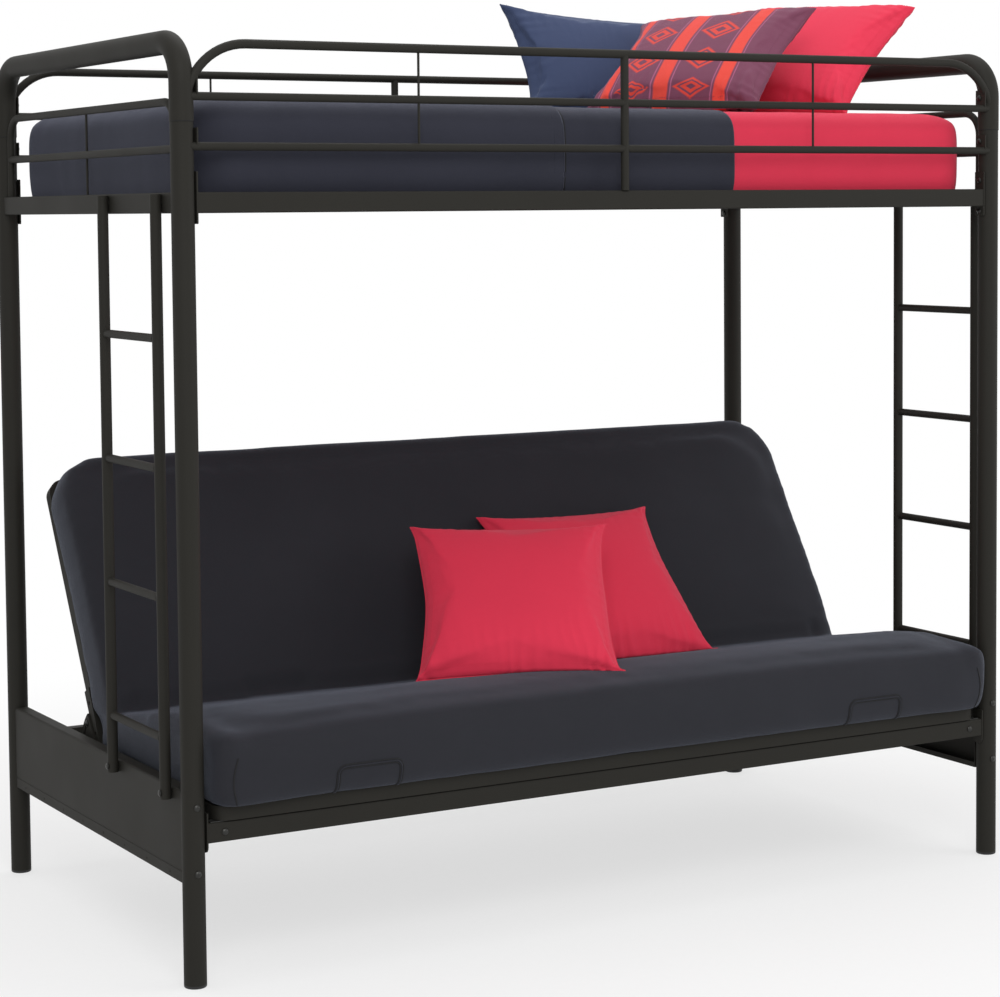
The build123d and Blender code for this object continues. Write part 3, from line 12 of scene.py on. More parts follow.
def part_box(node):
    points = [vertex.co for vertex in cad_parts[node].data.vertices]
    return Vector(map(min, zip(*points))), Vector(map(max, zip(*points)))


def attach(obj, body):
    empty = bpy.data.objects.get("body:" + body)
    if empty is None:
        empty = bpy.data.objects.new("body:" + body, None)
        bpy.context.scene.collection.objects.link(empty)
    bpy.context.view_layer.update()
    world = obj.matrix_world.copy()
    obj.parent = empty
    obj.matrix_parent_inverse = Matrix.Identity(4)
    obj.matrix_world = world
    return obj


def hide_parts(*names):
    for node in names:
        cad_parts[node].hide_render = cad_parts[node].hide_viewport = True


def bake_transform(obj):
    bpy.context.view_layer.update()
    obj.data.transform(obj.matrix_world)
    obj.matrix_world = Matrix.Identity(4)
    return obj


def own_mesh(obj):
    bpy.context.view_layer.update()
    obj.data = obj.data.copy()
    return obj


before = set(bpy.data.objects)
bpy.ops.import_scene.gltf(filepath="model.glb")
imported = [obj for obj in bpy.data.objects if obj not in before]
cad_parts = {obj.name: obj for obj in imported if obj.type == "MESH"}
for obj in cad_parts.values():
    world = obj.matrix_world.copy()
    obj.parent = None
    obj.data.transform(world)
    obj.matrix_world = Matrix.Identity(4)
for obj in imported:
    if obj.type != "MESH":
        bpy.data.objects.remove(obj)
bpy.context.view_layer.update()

bl_info = {
    "name": "Sofa to bunk bed",
    "version": (1, 0, 0),
    "blender": (4, 5, 0),
    "location": "View3D > Sidebar > Bunk bed",
    "description": "Dresses the metal bunk bed with its folding futon, bedding, pillows and throw cushions",
    "category": "Object",
}

# Material slots of the packed record
POWDER, ZINC, PLASTIC, NYLON = "powder_coat", "zinc_steel", "black_plastic", "glide_nylon"
FUTON, CRIMSON, NAVY, BLUE, PATTERNED = "futon_cloth", "crimson_cloth", "navy_cloth", "blue_cloth", "patterned_cloth"

# The scene's own near-black material for lines of painted shade: beside the futon's piping, along its end seams, in the
# gap by the duvet's edge and under each hoop's foot
SHADE_LINE = "piping_cord"


class FinishSettings(bpy.types.PropertyGroup):
    """Colours of the coatings and cloths."""

    powder: FloatVectorProperty(
        name="Powder coat", description="Warm dark grey of the tubes", default=(0.0190, 0.0180, 0.0150),
        subtype="COLOR", size=3, min=0, max=1,
    )
    futon: FloatVectorProperty(
        name="Futon cloth", description="Charcoal navy of the sofa mattress", default=(0.0165, 0.0168, 0.0215),
        subtype="COLOR", size=3, min=0, max=1,
    )
    crimson: FloatVectorProperty(
        name="Crimson cloth", description="Throw cushions, end pillow and fitted sheet", default=(0.71, 0.035, 0.078),
        subtype="COLOR", size=3, min=0, max=1,
    )
    navy: FloatVectorProperty(
        name="Navy cloth", description="Duvet and blanket", default=(0.0228, 0.0240, 0.0360),
        subtype="COLOR", size=3, min=0, max=1,
    )
    blue: FloatVectorProperty(
        name="Blue cloth", description="Small blue pillow", default=(0.042, 0.059, 0.124),
        subtype="COLOR", size=3, min=0, max=1,
    )
    purple: FloatVectorProperty(
        name="Purple ground", description="Ground of the patterned pillow", default=(0.165, 0.048, 0.088),
        subtype="COLOR", size=3, min=0, max=1,
    )
    stripe: FloatVectorProperty(
        name="Orange stripe", description="Stripes of the patterned pillow", default=(0.72, 0.062, 0.042),
        subtype="COLOR", size=3, min=0, max=1,
    )
    threads: FloatProperty(name="Threads per metre", description="Fineness of the weave", default=640, min=100)


class FutonSettings(bpy.types.PropertyGroup):
    """Sizes of the folding futon mattress."""

    cell: FloatProperty(name="Cell", description="Mesh size of the cloth", default=0.017, unit="LENGTH")
    swell: FloatProperty(
        name="Swell", description="Farthest that the filling pushes the cover",
        default=0.012, unit="LENGTH",
    )
    pressure: FloatProperty(name="Pressure", description="Pressure of the filling", default=4.0)
    bend_reach: FloatProperty(
        name="Fold reach", description="Cloth on each side of the fold that bends",
        default=0.10, unit="LENGTH",
    )
    piping: FloatProperty(name="Piping", description="Thickness of the piped outlines", default=0.0044, unit="LENGTH")


class BeddingSettings(bpy.types.PropertyGroup):
    """Sizes of the bunk's mattress and its covers."""

    cell: FloatProperty(name="Cell", description="Mesh size of the cloth", default=0.020, unit="LENGTH")
    swell: FloatProperty(
        name="Swell", description="Farthest that the filling pushes the cover",
        default=0.006, unit="LENGTH",
    )
    sink: FloatProperty(
        name="Sink", description="How far the mattress is pressed down under its solid's top",
        default=0.012, unit="LENGTH",
    )
    hem_z: FloatProperty(name="Hem", description="Height of the covers' lower hem", default=1.5216, unit="LENGTH")
    duvet_edge: FloatProperty(
        name="Duvet edge", description="Where the duvet ends along the bed",
        default=-0.127, unit="LENGTH",
    )
    blanket_edge: FloatProperty(
        name="Blanket edge", description="Where the blanket ends along the bed",
        default=0.303, unit="LENGTH",
    )
    roll: FloatProperty(
        name="Edge roll", description="Radius of the duvet's rolled edge",
        default=0.0052, unit="LENGTH",
    )
    duvet_loft: FloatProperty(
        name="Duvet loft", description="Height of the duvet's outside over the mattress",
        default=0.0120, unit="LENGTH",
    )
    blanket_loft: FloatProperty(
        name="Blanket loft", description="Height of the blanket's outside over the mattress",
        default=0.0040, unit="LENGTH",
    )


class CushionSettings(bpy.types.PropertyGroup):
    """How the pillows and cushions are stuffed."""

    cells: IntProperty(name="Cells", description="Cells of the cloth along one side", default=46, min=12)
    frames: IntProperty(name="Frames", description="Length of the simulation", default=18, min=5)
    pressure: FloatProperty(name="Pressure", description="Pressure of the filling", default=3.0)
    spare: FloatProperty(name="Spare cloth", description="Share by which the cover is cut too large", default=0.05)
    give: FloatProperty(
        name="Give", description="Farthest that the filling moves the cover",
        default=0.016, unit="LENGTH",
    )
    edge_give: FloatProperty(
        name="Edge give", description="Farthest that the filling moves the edge",
        default=0.006, unit="LENGTH",
    )
    plump: FloatProperty(
        name="Plumpness", description="Share of a smooth full shape in the simulated one",
        default=0.6, min=0, max=1,
    )
    seam: FloatProperty(name="Seam", description="Radius of the seam round the edge", default=0.0013, unit="LENGTH")
    settle: FloatProperty(
        name="Settling", description="How far a pillow sinks at its contacts",
        default=0.005, unit="LENGTH",
    )


class StageSettings(bpy.types.PropertyGroup):
    """Camera, lamps and floor."""

    lens: FloatProperty(name="Lens", description="Focal length on a 36 mm sensor", default=91.73, unit="CAMERA")
    place: FloatVectorProperty(
        name="Camera", description="Where the camera stands",
        default=(-2.8346, -4.9783, 1.4777), size=3, subtype="XYZ",
    )
    yaw: FloatProperty(name="Yaw", description="Camera's turn to the right of +Y", default=0.5164, subtype="ANGLE")
    pitch: FloatProperty(name="Pitch", description="Camera's tilt below the horizon", default=0.0631, subtype="ANGLE")
    roll: FloatProperty(name="Roll", description="Camera's roll", default=-0.0087, subtype="ANGLE")
    shift: FloatProperty(name="Shift", description="Vertical shift of the frame", default=-0.125)
    ambient: FloatProperty(name="Ambient", description="Light from all round", default=0.62, min=0)
    key: FloatProperty(name="Key", description="Power of the main lamp", default=142, unit="POWER")
    fill: FloatProperty(name="Fill", description="Power of the right lamp", default=55, unit="POWER")
    top: FloatProperty(name="Top", description="Power of the lamp overhead", default=60, unit="POWER")
    floor_glow: FloatProperty(
        name="Floor glow", description="Share of the floor's white that the shadow leaves",
        default=0.62, min=0, max=1,
    )


SETTINGS = {
    "bunk_finish": FinishSettings,
    "bunk_futon": FutonSettings,
    "bunk_bedding": BeddingSettings,
    "bunk_cushion": CushionSettings,
    "bunk_stage": StageSettings,
}


class Value:
    """A socket of a node tree that Python sums can use."""

    def __init__(self, tree, socket):
        self.tree = tree
        self.socket = socket

    def __add__(self, other):
        return self.tree.maths("ADD", self, other)

    def __sub__(self, other):
        return self.tree.maths("SUBTRACT", self, other)

    def __rsub__(self, other):
        return self.tree.maths("SUBTRACT", other, self)

    def __mul__(self, other):
        return self.tree.maths("MULTIPLY", self, other)

    def __truediv__(self, other):
        return self.tree.maths("DIVIDE", self, other)

    def __pow__(self, other):
        return self.tree.maths("POWER", self, other)

    __radd__ = __add__
    __rmul__ = __mul__


class Tree:
    """Nodes of one material or one Geometry Nodes group."""

    def __init__(self, node_tree):
        self.node_tree = node_tree

    def node(self, kind, settings=None, values=None):
        """Adds a node with its settings first, then the values or links of its sockets."""
        made = self.node_tree.nodes.new(kind)
        for name, setting in (settings or {}).items():
            setattr(made, name, setting)
        for name, value in (values or {}).items():
            if isinstance(value, Value):
                value = value.socket
            if isinstance(value, bpy.types.NodeSocket):
                self.node_tree.links.new(value, made.inputs[name])
            else:
                made.inputs[name].default_value = value
        return made

    def value(self, kind, settings=None, values=None, out=0):
        """Adds a node and gives one of its outputs, ready for sums."""
        return Value(self, self.node(kind, settings, values).outputs[out])

    def maths(self, operation, *values):
        """One Math node on sockets or numbers."""
        return self.value("ShaderNodeMath", {"operation": operation}, dict(enumerate(values)))

    def split(self, vector):
        """The three parts of a vector."""
        parts = self.node("ShaderNodeSeparateXYZ", {}, {0: vector})
        return [Value(self, parts.outputs[k]) for k in range(3)]


class Shader(Tree):
    """Material on a Principled surface whose constants sit on the shader's own sockets."""

    def __init__(self, name, **constants):
        self.material = bpy.data.materials.new(name)
        self.material.use_nodes = True
        super().__init__(self.material.node_tree)
        self.node_tree.nodes.clear()
        wording = {key.replace("_", " ").title().replace("Ior", "IOR"): setting for key, setting in constants.items()}
        self.surface = self.node("ShaderNodeBsdfPrincipled", {}, wording)
        self.node("ShaderNodeOutputMaterial", {}, {"Surface": self.surface.outputs[0]})

    def feed(self, name, value):
        """Links what changes over the surface to a socket of its shader."""
        self.node_tree.links.new(value.socket, self.surface.inputs[name])

    def place(self):
        """Object coordinates, which are the frame's own."""
        return self.value("ShaderNodeTexCoord", out="Object")

    def facing(self):
        """The way that the surface faces."""
        return self.value("ShaderNodeTexCoord", out="Normal")

    def scaled(self, vector, factors):
        """A vector with its parts multiplied."""
        return self.value("ShaderNodeVectorMath", {"operation": "MULTIPLY"}, {0: vector, 1: factors})

    def noise(self, vector, scale, detail=2.0, rough=0.5):
        """Smooth noise between 0 and 1: its scale, how much finer detail it has and how rough that is."""
        values = {"Vector": vector, "Scale": scale, "Detail": detail, "Roughness": rough}
        return self.value("ShaderNodeTexNoise", {}, values)

    def mix(self, share, low, high):
        """Colour between low and high."""
        return self.value("ShaderNodeMix", {"data_type": "RGBA"}, {0: share, 6: low, 7: high}, out=2)

    def step(self, value, low, high):
        """Rises smoothly from 0 at low to 1 at high."""
        values = {"Value": value, "From Min": low, "From Max": high}
        return self.value("ShaderNodeMapRange", {"interpolation_type": "SMOOTHSTEP"}, values)

    def bump(self, height, distance, strength, under=None):
        """Turns a height into a surface direction, on top of another bump where one is given."""
        values = {"Height": height, "Distance": distance, "Strength": strength}
        if under is not None:
            values["Normal"] = under
        return self.value("ShaderNodeBump", {}, values)


def shade(colour, factor):
    """A colour made darker or lighter, with alpha 1."""
    return (*[min(1.0, c * factor) for c in colour], 1.0)


def powder_coat(colour):
    """Satin powder coat: fine orange peel, slow changes of gloss, faint paler specks."""
    sh = Shader(POWDER, specular_ior_level=0.13)
    place = sh.place()
    cloud = sh.noise(place, 7.0, 3.0)
    peel = sh.noise(place, 620.0, 2.0)
    speck = sh.step(sh.noise(place, 1400.0, 1.0), 0.66, 0.78)
    tone = sh.mix(cloud, shade(colour, 0.90), shade(colour, 1.12))
    sh.feed("Base Color", sh.mix(speck * 0.35, tone, shade(colour, 1.9)))
    sh.feed("Roughness", cloud * 0.14 + peel * 0.10 + 0.48)
    sh.feed("Normal", sh.bump(peel, 0.00022, 0.55))
    return sh.material


def bolt_steel(colour):
    """Dark plated steel with fine streaks and a cloudy tone."""
    sh = Shader(ZINC, metallic=0.85)
    place = sh.place()
    cloud = sh.noise(place, 240.0, 3.0)
    brushed = sh.noise(sh.scaled(place, (900.0, 2600.0, 900.0)), 1.0, 2.0)
    sh.feed("Base Color", sh.mix(cloud, shade(colour, 0.75), shade(colour, 1.35)))
    sh.feed("Roughness", brushed * 0.22 + 0.24)
    sh.feed("Normal", sh.bump(brushed, 0.00008, 0.5))
    return sh.material


def moulded(name, colour, grain, rough):
    """Moulded plastic with a fine spark-eroded grain."""
    sh = Shader(name, specular_ior_level=0.4)
    place = sh.place()
    cloud = sh.noise(place, 30.0, 2.0)
    fine = sh.noise(place, grain, 2.0)
    sh.feed("Base Color", sh.mix(cloud, shade(colour, 0.85), shade(colour, 1.2)))
    sh.feed("Roughness", fine * 0.12 + rough)
    sh.feed("Normal", sh.bump(fine, 0.00015, 0.5))
    return sh.material


def weave(sh, place, threads):
    """Height of a plain weave, seen square on from each axis and blended by where the surface faces."""
    waves = [sh.maths("SINE", part * (threads * 2 * pi)) for part in sh.split(place)]
    sides = [sh.maths("ABSOLUTE", part) ** 4.0 for part in sh.split(sh.facing())]
    total = sides[0] + sides[1] + sides[2] + 0.001
    across = waves[1] * waves[2] * sides[0] + waves[0] * waves[2] * sides[1] + waves[0] * waves[1] * sides[2]
    return across / total


def cloth(name, colour, threads, nap, sheen, tint, pattern=None):
    """Woven cloth: threads, slubs, a nap that lies in soft patches and a little fuzz at grazing angles."""
    sh = Shader(name, sheen_weight=sheen, sheen_roughness=0.45, sheen_tint=(*tint, 1.0), specular_ior_level=0.22)
    place = sh.place()
    patches = sh.noise(place, 5.5, 3.0, 0.55)
    slubs = sh.noise(sh.scaled(place, (90.0, 90.0, 420.0)), 1.0, 2.0)
    threads_up = weave(sh, place, threads)
    dark, light = shade(colour, 1 - nap), shade(colour, 1 + nap)
    tone = sh.mix(patches, dark, light)
    tone = sh.mix(slubs * 0.30, tone, shade(colour, 1.18))
    tone = sh.mix(threads_up * 0.10 + 0.10, tone, shade(colour, 0.72))
    if pattern:
        tone = pattern(sh, tone)
    sh.feed("Base Color", tone)
    sh.feed("Roughness", slubs * 0.10 + 0.78)
    creases = sh.noise(place, 46.0, 3.0, 0.6)
    under = sh.bump(creases, 0.0022, 0.20)
    sh.feed("Normal", sh.bump(threads_up, 0.00016, 0.6, under))
    return sh.material


def pillow_pattern(stripe_colour, purple):
    """Plain geometric design on the pillow's own cloth: three stripes with rows of stepped diamonds between them."""

    def paint(sh, tone):
        along, up, _ = sh.split(sh.value("ShaderNodeUVMap", {"uv_map": "Cloth"}))
        for at, half in ((0.16, 0.028), (0.45, 0.034), (0.74, 0.034)):
            off = sh.maths("ABSOLUTE", along - at)
            inside = 1 - sh.step(off, half - 0.004, half + 0.004)
            tone = sh.mix(inside, tone, shade(stripe_colour, 1.0))
            line = sh.step(off, half + 0.008, half + 0.011) * (1 - sh.step(off, half + 0.014, half + 0.017))
            tone = sh.mix(line, tone, shade(purple, 2.1))
        count, size = 4.0, 0.36
        for at in (0.305, 0.595):
            row = sh.maths("ABSOLUTE", sh.maths("FRACT", up * count) - 0.5)
            off = sh.maths("ABSOLUTE", along - at) * count
            spread = row + off
            diamond = 1 - sh.step(spread, size - 0.03, size + 0.03)
            ring = sh.step(spread, size * 0.58, size * 0.64) * (1 - sh.step(spread, size * 0.76, size * 0.82))
            heart = 1 - sh.step(spread, size * 0.26, size * 0.32)
            tone = sh.mix(diamond, tone, shade(stripe_colour, 0.90))
            tone = sh.mix(sh.maths("MAXIMUM", ring, heart), tone, shade(purple, 0.95))
        return tone

    return paint


def finishes():
    """All materials of the piece, made once and found by their slot name afterwards."""
    if POWDER in bpy.data.materials and bpy.data.materials[POWDER].get("made_here"):
        return bpy.data.materials
    for old in list(bpy.data.materials):
        old.name = "packed_" + old.name
    s = bpy.context.scene.bunk_finish
    made = [
        powder_coat(s.powder),
        bolt_steel((0.038, 0.038, 0.036)),
        moulded(PLASTIC, (0.011, 0.011, 0.011), 900.0, 0.42),
        moulded(NYLON, (0.022, 0.022, 0.021), 700.0, 0.34),
        cloth(FUTON, s.futon, s.threads, nap=0.16, sheen=0.19, tint=(0.68, 0.76, 0.96)),
        cloth(CRIMSON, s.crimson, s.threads, nap=0.07, sheen=0.18, tint=(1.0, 0.45, 0.55)),
        cloth(NAVY, s.navy, s.threads, nap=0.12, sheen=0.20, tint=(0.66, 0.70, 0.92)),
        cloth(BLUE, s.blue, s.threads, nap=0.09, sheen=0.20, tint=(0.7, 0.8, 1.0)),
        cloth(
            PATTERNED, s.purple, s.threads, nap=0.08, sheen=0.18, tint=(1.0, 0.7, 0.85),
            pattern=pillow_pattern(s.stripe, s.purple),
        ),
        # Near-black lines of painted shade, moulded like plastic
        moulded(SHADE_LINE, (0.0045, 0.0045, 0.0055), 1200.0, 0.74),
    ]
    for material in made:
        material["made_here"] = True
    return bpy.data.materials


def in_scene(name, data):
    """Adds an object to the scene."""
    piece = bpy.data.objects.new(name, data)
    bpy.context.scene.collection.objects.link(piece)
    return piece


def smooth_shaded(mesh):
    """Shades every face of a mesh smooth."""
    mesh.polygons.foreach_set("use_smooth", [True] * len(mesh.polygons))


def new_piece(name, mesh, slot, material=None):
    """Adds a finished mesh to the scene under one material."""
    piece = in_scene(name, mesh)
    mesh.materials.clear()
    mesh.materials.append(finishes()[material or slot])
    mesh.polygons.foreach_set("material_index", [0] * len(mesh.polygons))
    smooth_shaded(mesh)
    return piece


def points_of(mesh):
    """The vertices of a mesh, one row each."""
    co = np.empty(len(mesh.vertices) * 3, np.float64)
    mesh.vertices.foreach_get("co", co)
    return co.reshape(-1, 3)


def set_points(mesh, points):
    """Moves the vertices of a mesh."""
    mesh.vertices.foreach_set("co", np.asarray(points, np.float32).ravel())
    mesh.update()


def finished_mesh(piece):
    """The piece's mesh with all its modifiers applied, which are then removed."""
    depsgraph = bpy.context.evaluated_depsgraph_get()
    mesh = bpy.data.meshes.new_from_object(piece.evaluated_get(depsgraph))
    piece.modifiers.clear()
    piece.data = mesh
    return mesh


def remeshed(name, mesh, cell):
    """One closed even-celled skin round everything in the mesh."""
    piece = in_scene(name, mesh)
    skin = piece.modifiers.new("Skin", "REMESH")
    skin.mode = "VOXEL"
    skin.voxel_size = cell
    finished_mesh(piece)
    return piece


def smoothed(mesh, rounds):
    """Rounds the mesh by moving each vertex towards the mean of its neighbours."""
    points = points_of(mesh)
    edges = np.empty(len(mesh.edges) * 2, np.int64)
    mesh.edges.foreach_get("vertices", edges)
    a, b = edges.reshape(-1, 2).T
    count = np.bincount(np.concatenate((a, b)), minlength=len(points))[:, None]
    for _ in range(rounds):
        total = np.zeros_like(points)
        np.add.at(total, a, points[b])
        np.add.at(total, b, points[a])
        points += 0.5 * (total / count - points)
    set_points(mesh, points)
    return points


def blow_up(piece, pressure, frames, tension, bending, growth=0.0):
    """Fills a closed cloth with pressure and keeps the shape that it takes."""
    scene = bpy.context.scene
    filling = piece.modifiers.new("Filling", "CLOTH")
    settings = filling.settings
    settings.quality = 5
    settings.mass = 0.3
    settings.tension_stiffness = tension
    settings.compression_stiffness = tension
    settings.shear_stiffness = tension / 3
    settings.bending_stiffness = bending
    settings.use_pressure = True
    settings.uniform_pressure_force = pressure
    settings.shrink_min = -growth
    settings.effector_weights.gravity = 0
    filling.point_cache.frame_start = 1
    filling.point_cache.frame_end = frames
    for moment in range(1, frames + 1):
        scene.frame_set(moment)
    finished_mesh(piece)
    scene.frame_set(1)


def subdivided(piece):
    """One smooth subdivision, applied."""
    finer = piece.modifiers.new("Finer", "SUBSURF")
    finer.levels = 1
    finer.render_levels = 1
    return finished_mesh(piece)


def capped(before, after, most):
    """Moves as a share of the wished ones, with no point moved farther than the most."""
    step = after - before
    length = np.linalg.norm(step, axis=1, keepdims=True)
    return before + step * np.minimum(1.0, most / np.maximum(length, 1e-9))


def normals_of(mesh):
    """The outward way at each vertex of a mesh."""
    normal = np.empty(len(mesh.vertices) * 3, np.float32)
    mesh.vertices.foreach_get("normal", normal)
    return normal.reshape(-1, 3).astype(float)


def ripple(points, scale, offset=0.0):
    """Smooth seedless noise between about -1 and 1, one number for each point."""
    stretch = np.asarray(scale)
    return np.array([noise.noise(Vector(p * stretch) + Vector((offset, offset, offset))) for p in points])


def solid_copy(*nodes):
    """The merged meshes of CAD nodes, as a new mesh."""
    bm = bmesh.new()
    for node in nodes:
        bm.from_mesh(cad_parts[node].data)
    bmesh.ops.remove_doubles(bm, verts=bm.verts, dist=1e-5)
    mesh = bpy.data.meshes.new("+".join(nodes))
    bm.to_mesh(mesh)
    bm.free()
    return mesh


def tree_of(piece):
    """Search tree of a finished piece, for contacts and for trim that lies on it."""
    bm = bmesh.new()
    bm.from_mesh(piece.data)
    tree = BVHTree.FromBMesh(bm)
    bm.free()
    return tree


def kept_out(points, trees, clearance):
    """Points pushed out of the pieces that they touch, onto the surface."""
    out = points.copy()
    for k in range(len(points)):
        for tree in trees:
            spot, normal, _, _ = tree.find_nearest(Vector(out[k]), 0.06)
            if spot is None:
                continue
            height = (Vector(out[k]) - spot).dot(normal)
            if height < clearance:
                out[k] = spot + normal * clearance
    return out


def node_tree(name, inputs):
    """Empty Geometry Nodes group with a geometry in, a geometry out and named sizes."""
    tree = bpy.data.node_groups.new(name, "GeometryNodeTree")
    tree.interface.new_socket(name="Geometry", in_out="OUTPUT", socket_type="NodeSocketGeometry")
    tree.interface.new_socket(name="Geometry", in_out="INPUT", socket_type="NodeSocketGeometry")
    for label, kind in inputs:
        tree.interface.new_socket(name=label, in_out="INPUT", socket_type=kind)
    return Tree(tree)


def end_tree(tree, geometry, material):
    """Ends a group in Realize Instances and Set Material."""
    plain = tree.value("GeometryNodeRealizeInstances", {}, {"Geometry": geometry})
    painted = tree.value("GeometryNodeSetMaterial", {}, {"Geometry": plain, "Material": material})
    tree.node("NodeGroupOutput", {}, {0: painted})


def run_tree(piece, tree, values):
    """Sets the group's inputs by their identifiers, applies it and keeps the plain mesh."""
    repeat = piece.modifiers.new("Repeat", "NODES")
    repeat.node_group = tree.node_tree
    for item in tree.node_tree.interface.items_tree:
        if item.name in values:
            repeat[item.identifier] = values[item.name]
    return finished_mesh(piece)


def stitch_tree():
    """Stitches that follow the edges of a mesh line: pitch, length and thickness."""
    if "Stitches" in bpy.data.node_groups:
        return Tree(bpy.data.node_groups["Stitches"])
    sizes = [(label, "NodeSocketFloat") for label in ("Pitch", "Length", "Thickness")]
    tree = node_tree("Stitches", sizes + [("Material", "NodeSocketMaterial")])
    given = tree.node("NodeGroupInput")
    line = tree.value("GeometryNodeMeshToCurve", {}, {"Mesh": given.outputs["Geometry"]})
    spacing = {"Curve": line, "Length": given.outputs["Pitch"]}
    spaced = tree.value("GeometryNodeResampleCurve", {"mode": "LENGTH"}, spacing)
    bead = tree.value("GeometryNodeMeshUVSphere", {}, {"Segments": 6, "Rings": 4, "Radius": 0.5})
    thick = given.outputs["Thickness"]
    size = tree.value("ShaderNodeCombineXYZ", {}, {"X": thick, "Y": thick, "Z": given.outputs["Length"]})
    way = tree.value("GeometryNodeInputTangent")
    turn = tree.value("FunctionNodeAlignRotationToVector", {"axis": "Z"}, {"Vector": way})
    placing = {"Points": spaced, "Instance": bead, "Rotation": turn, "Scale": size}
    rows = tree.value("GeometryNodeInstanceOnPoints", {}, placing)
    end_tree(tree, rows, given.outputs["Material"])
    return tree


def line_mesh(name, run):
    """Mesh of one open line through a list of points."""
    mesh = bpy.data.meshes.new(name)
    mesh.from_pydata([tuple(p) for p in run], [(k, k + 1) for k in range(len(run) - 1)], [])
    return mesh


def stitches(name, run, body, slot, pitch, length, thick):
    """A row of stitches along a run, as one plain mesh on one body."""
    piece = in_scene(name, line_mesh(name, run))
    values = {"Pitch": pitch, "Length": length, "Thickness": thick, "Material": finishes()[slot]}
    smooth_shaded(run_tree(piece, stitch_tree(), values))
    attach(piece, body)
    return piece


def weld_tree():
    """Weld beads on marked points: a ring round each tube, turned and sized by its point's attributes."""
    tree = node_tree("Weld beads", (("Bead", "NodeSocketFloat"), ("Material", "NodeSocketMaterial")))
    given = tree.node("NodeGroupInput")
    ring, section = [
        tree.value("GeometryNodeCurvePrimitiveCircle", {"mode": "RADIUS"}, {"Resolution": corners, "Radius": radius})
        for corners, radius in ((20, 1.0), (6, given.outputs["Bead"]))
    ]
    bead = tree.value("GeometryNodeCurveToMesh", {}, {"Curve": ring, "Profile Curve": section})
    way = tree.value("GeometryNodeInputNamedAttribute", {"data_type": "FLOAT_VECTOR"}, {"Name": "way"})
    radius = tree.value("GeometryNodeInputNamedAttribute", {"data_type": "FLOAT"}, {"Name": "radius"})
    turn = tree.value("FunctionNodeAlignRotationToVector", {"axis": "Z"}, {"Vector": way})
    placing = {"Points": given.outputs["Geometry"], "Instance": bead, "Rotation": turn, "Scale": radius}
    rings = tree.value("GeometryNodeInstanceOnPoints", {}, placing)
    end_tree(tree, rings, given.outputs["Material"])
    return tree


def tube_along(name, runs, radius, slot, body, material, roundness=1):
    """Round piping that follows each run of points, as one plain mesh."""
    curve = bpy.data.curves.new(name, "CURVE")
    curve.dimensions = "3D"
    curve.bevel_depth = radius
    curve.bevel_resolution = roundness
    curve.use_fill_caps = True
    for run in runs:
        spline = curve.splines.new("NURBS")
        spline.points.add(len(run) - 1)
        for point, place in zip(spline.points, run):
            point.co = (*place, 1.0)
        spline.order_u = 3
        spline.use_endpoint_u = True
        spline.resolution_u = 3
    shape = in_scene(name + "_line", curve)
    depsgraph = bpy.context.evaluated_depsgraph_get()
    mesh = bpy.data.meshes.new_from_object(shape.evaluated_get(depsgraph))
    bpy.data.objects.remove(shape)
    piece = new_piece(name, mesh, slot, material)
    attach(piece, body)
    return piece


# Heights of the ladders' rungs
RUNG_HEIGHTS = (0.471, 0.743, 0.993, 1.243)


class MakesPiece(bpy.types.Operator):
    """Shared base: an operator that can't finish raises an error."""

    bl_options = {"REGISTER", "UNDO"}

    def execute(self, context):
        self.make(context.scene)
        return {"FINISHED"}


class BUNK_OT_metal(MakesPiece):
    """Puts the powder coat, plated steel, plastic and nylon on the frame's nodes"""

    bl_idname = "bunk.metal"
    bl_label = "Metal frame"

    def make(self, scene):
        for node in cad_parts.values():
            for slot in node.material_slots:
                key = slot.material.name.replace("packed_", "").split(".")[0]
                if key in finishes():
                    slot.material = finishes()[key]


class BUNK_OT_welds(MakesPiece):
    """Lays a weld bead round each end of the ladders' rungs"""

    bl_idname = "bunk.welds"
    bl_label = "Weld beads"

    ladder_x: FloatProperty(
        name="Ladder", description="Ladder's distance from the middle",
        default=1.0033, unit="LENGTH",
    )
    near_y: FloatProperty(name="Near stile", description="Inner side of the near stile", default=-0.4205, unit="LENGTH")
    far_y: FloatProperty(name="Far stile", description="Inner side of the far stile", default=-0.1615, unit="LENGTH")
    rung_radius: FloatProperty(name="Rung", description="Radius of a rung", default=0.00825, unit="LENGTH")

    def make(self, scene):
        spots = [
            (side * self.ladder_x, y, z)
            for side in (-1, 1) for z in RUNG_HEIGHTS for y in (self.near_y, self.far_y)
        ]
        mesh = bpy.data.meshes.new("weld_beads")
        mesh.from_pydata(spots, [], [])
        way = mesh.attributes.new("way", "FLOAT_VECTOR", "POINT")
        way.data.foreach_set("vector", [0.0, 1.0, 0.0] * len(spots))
        radius = mesh.attributes.new("radius", "FLOAT", "POINT")
        radius.data.foreach_set("value", [self.rung_radius] * len(spots))
        piece = in_scene("weld_beads", mesh)
        smooth_shaded(run_tree(piece, weld_tree(), {"Bead": 0.16, "Material": finishes()[POWDER]}))
        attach(piece, "frame")


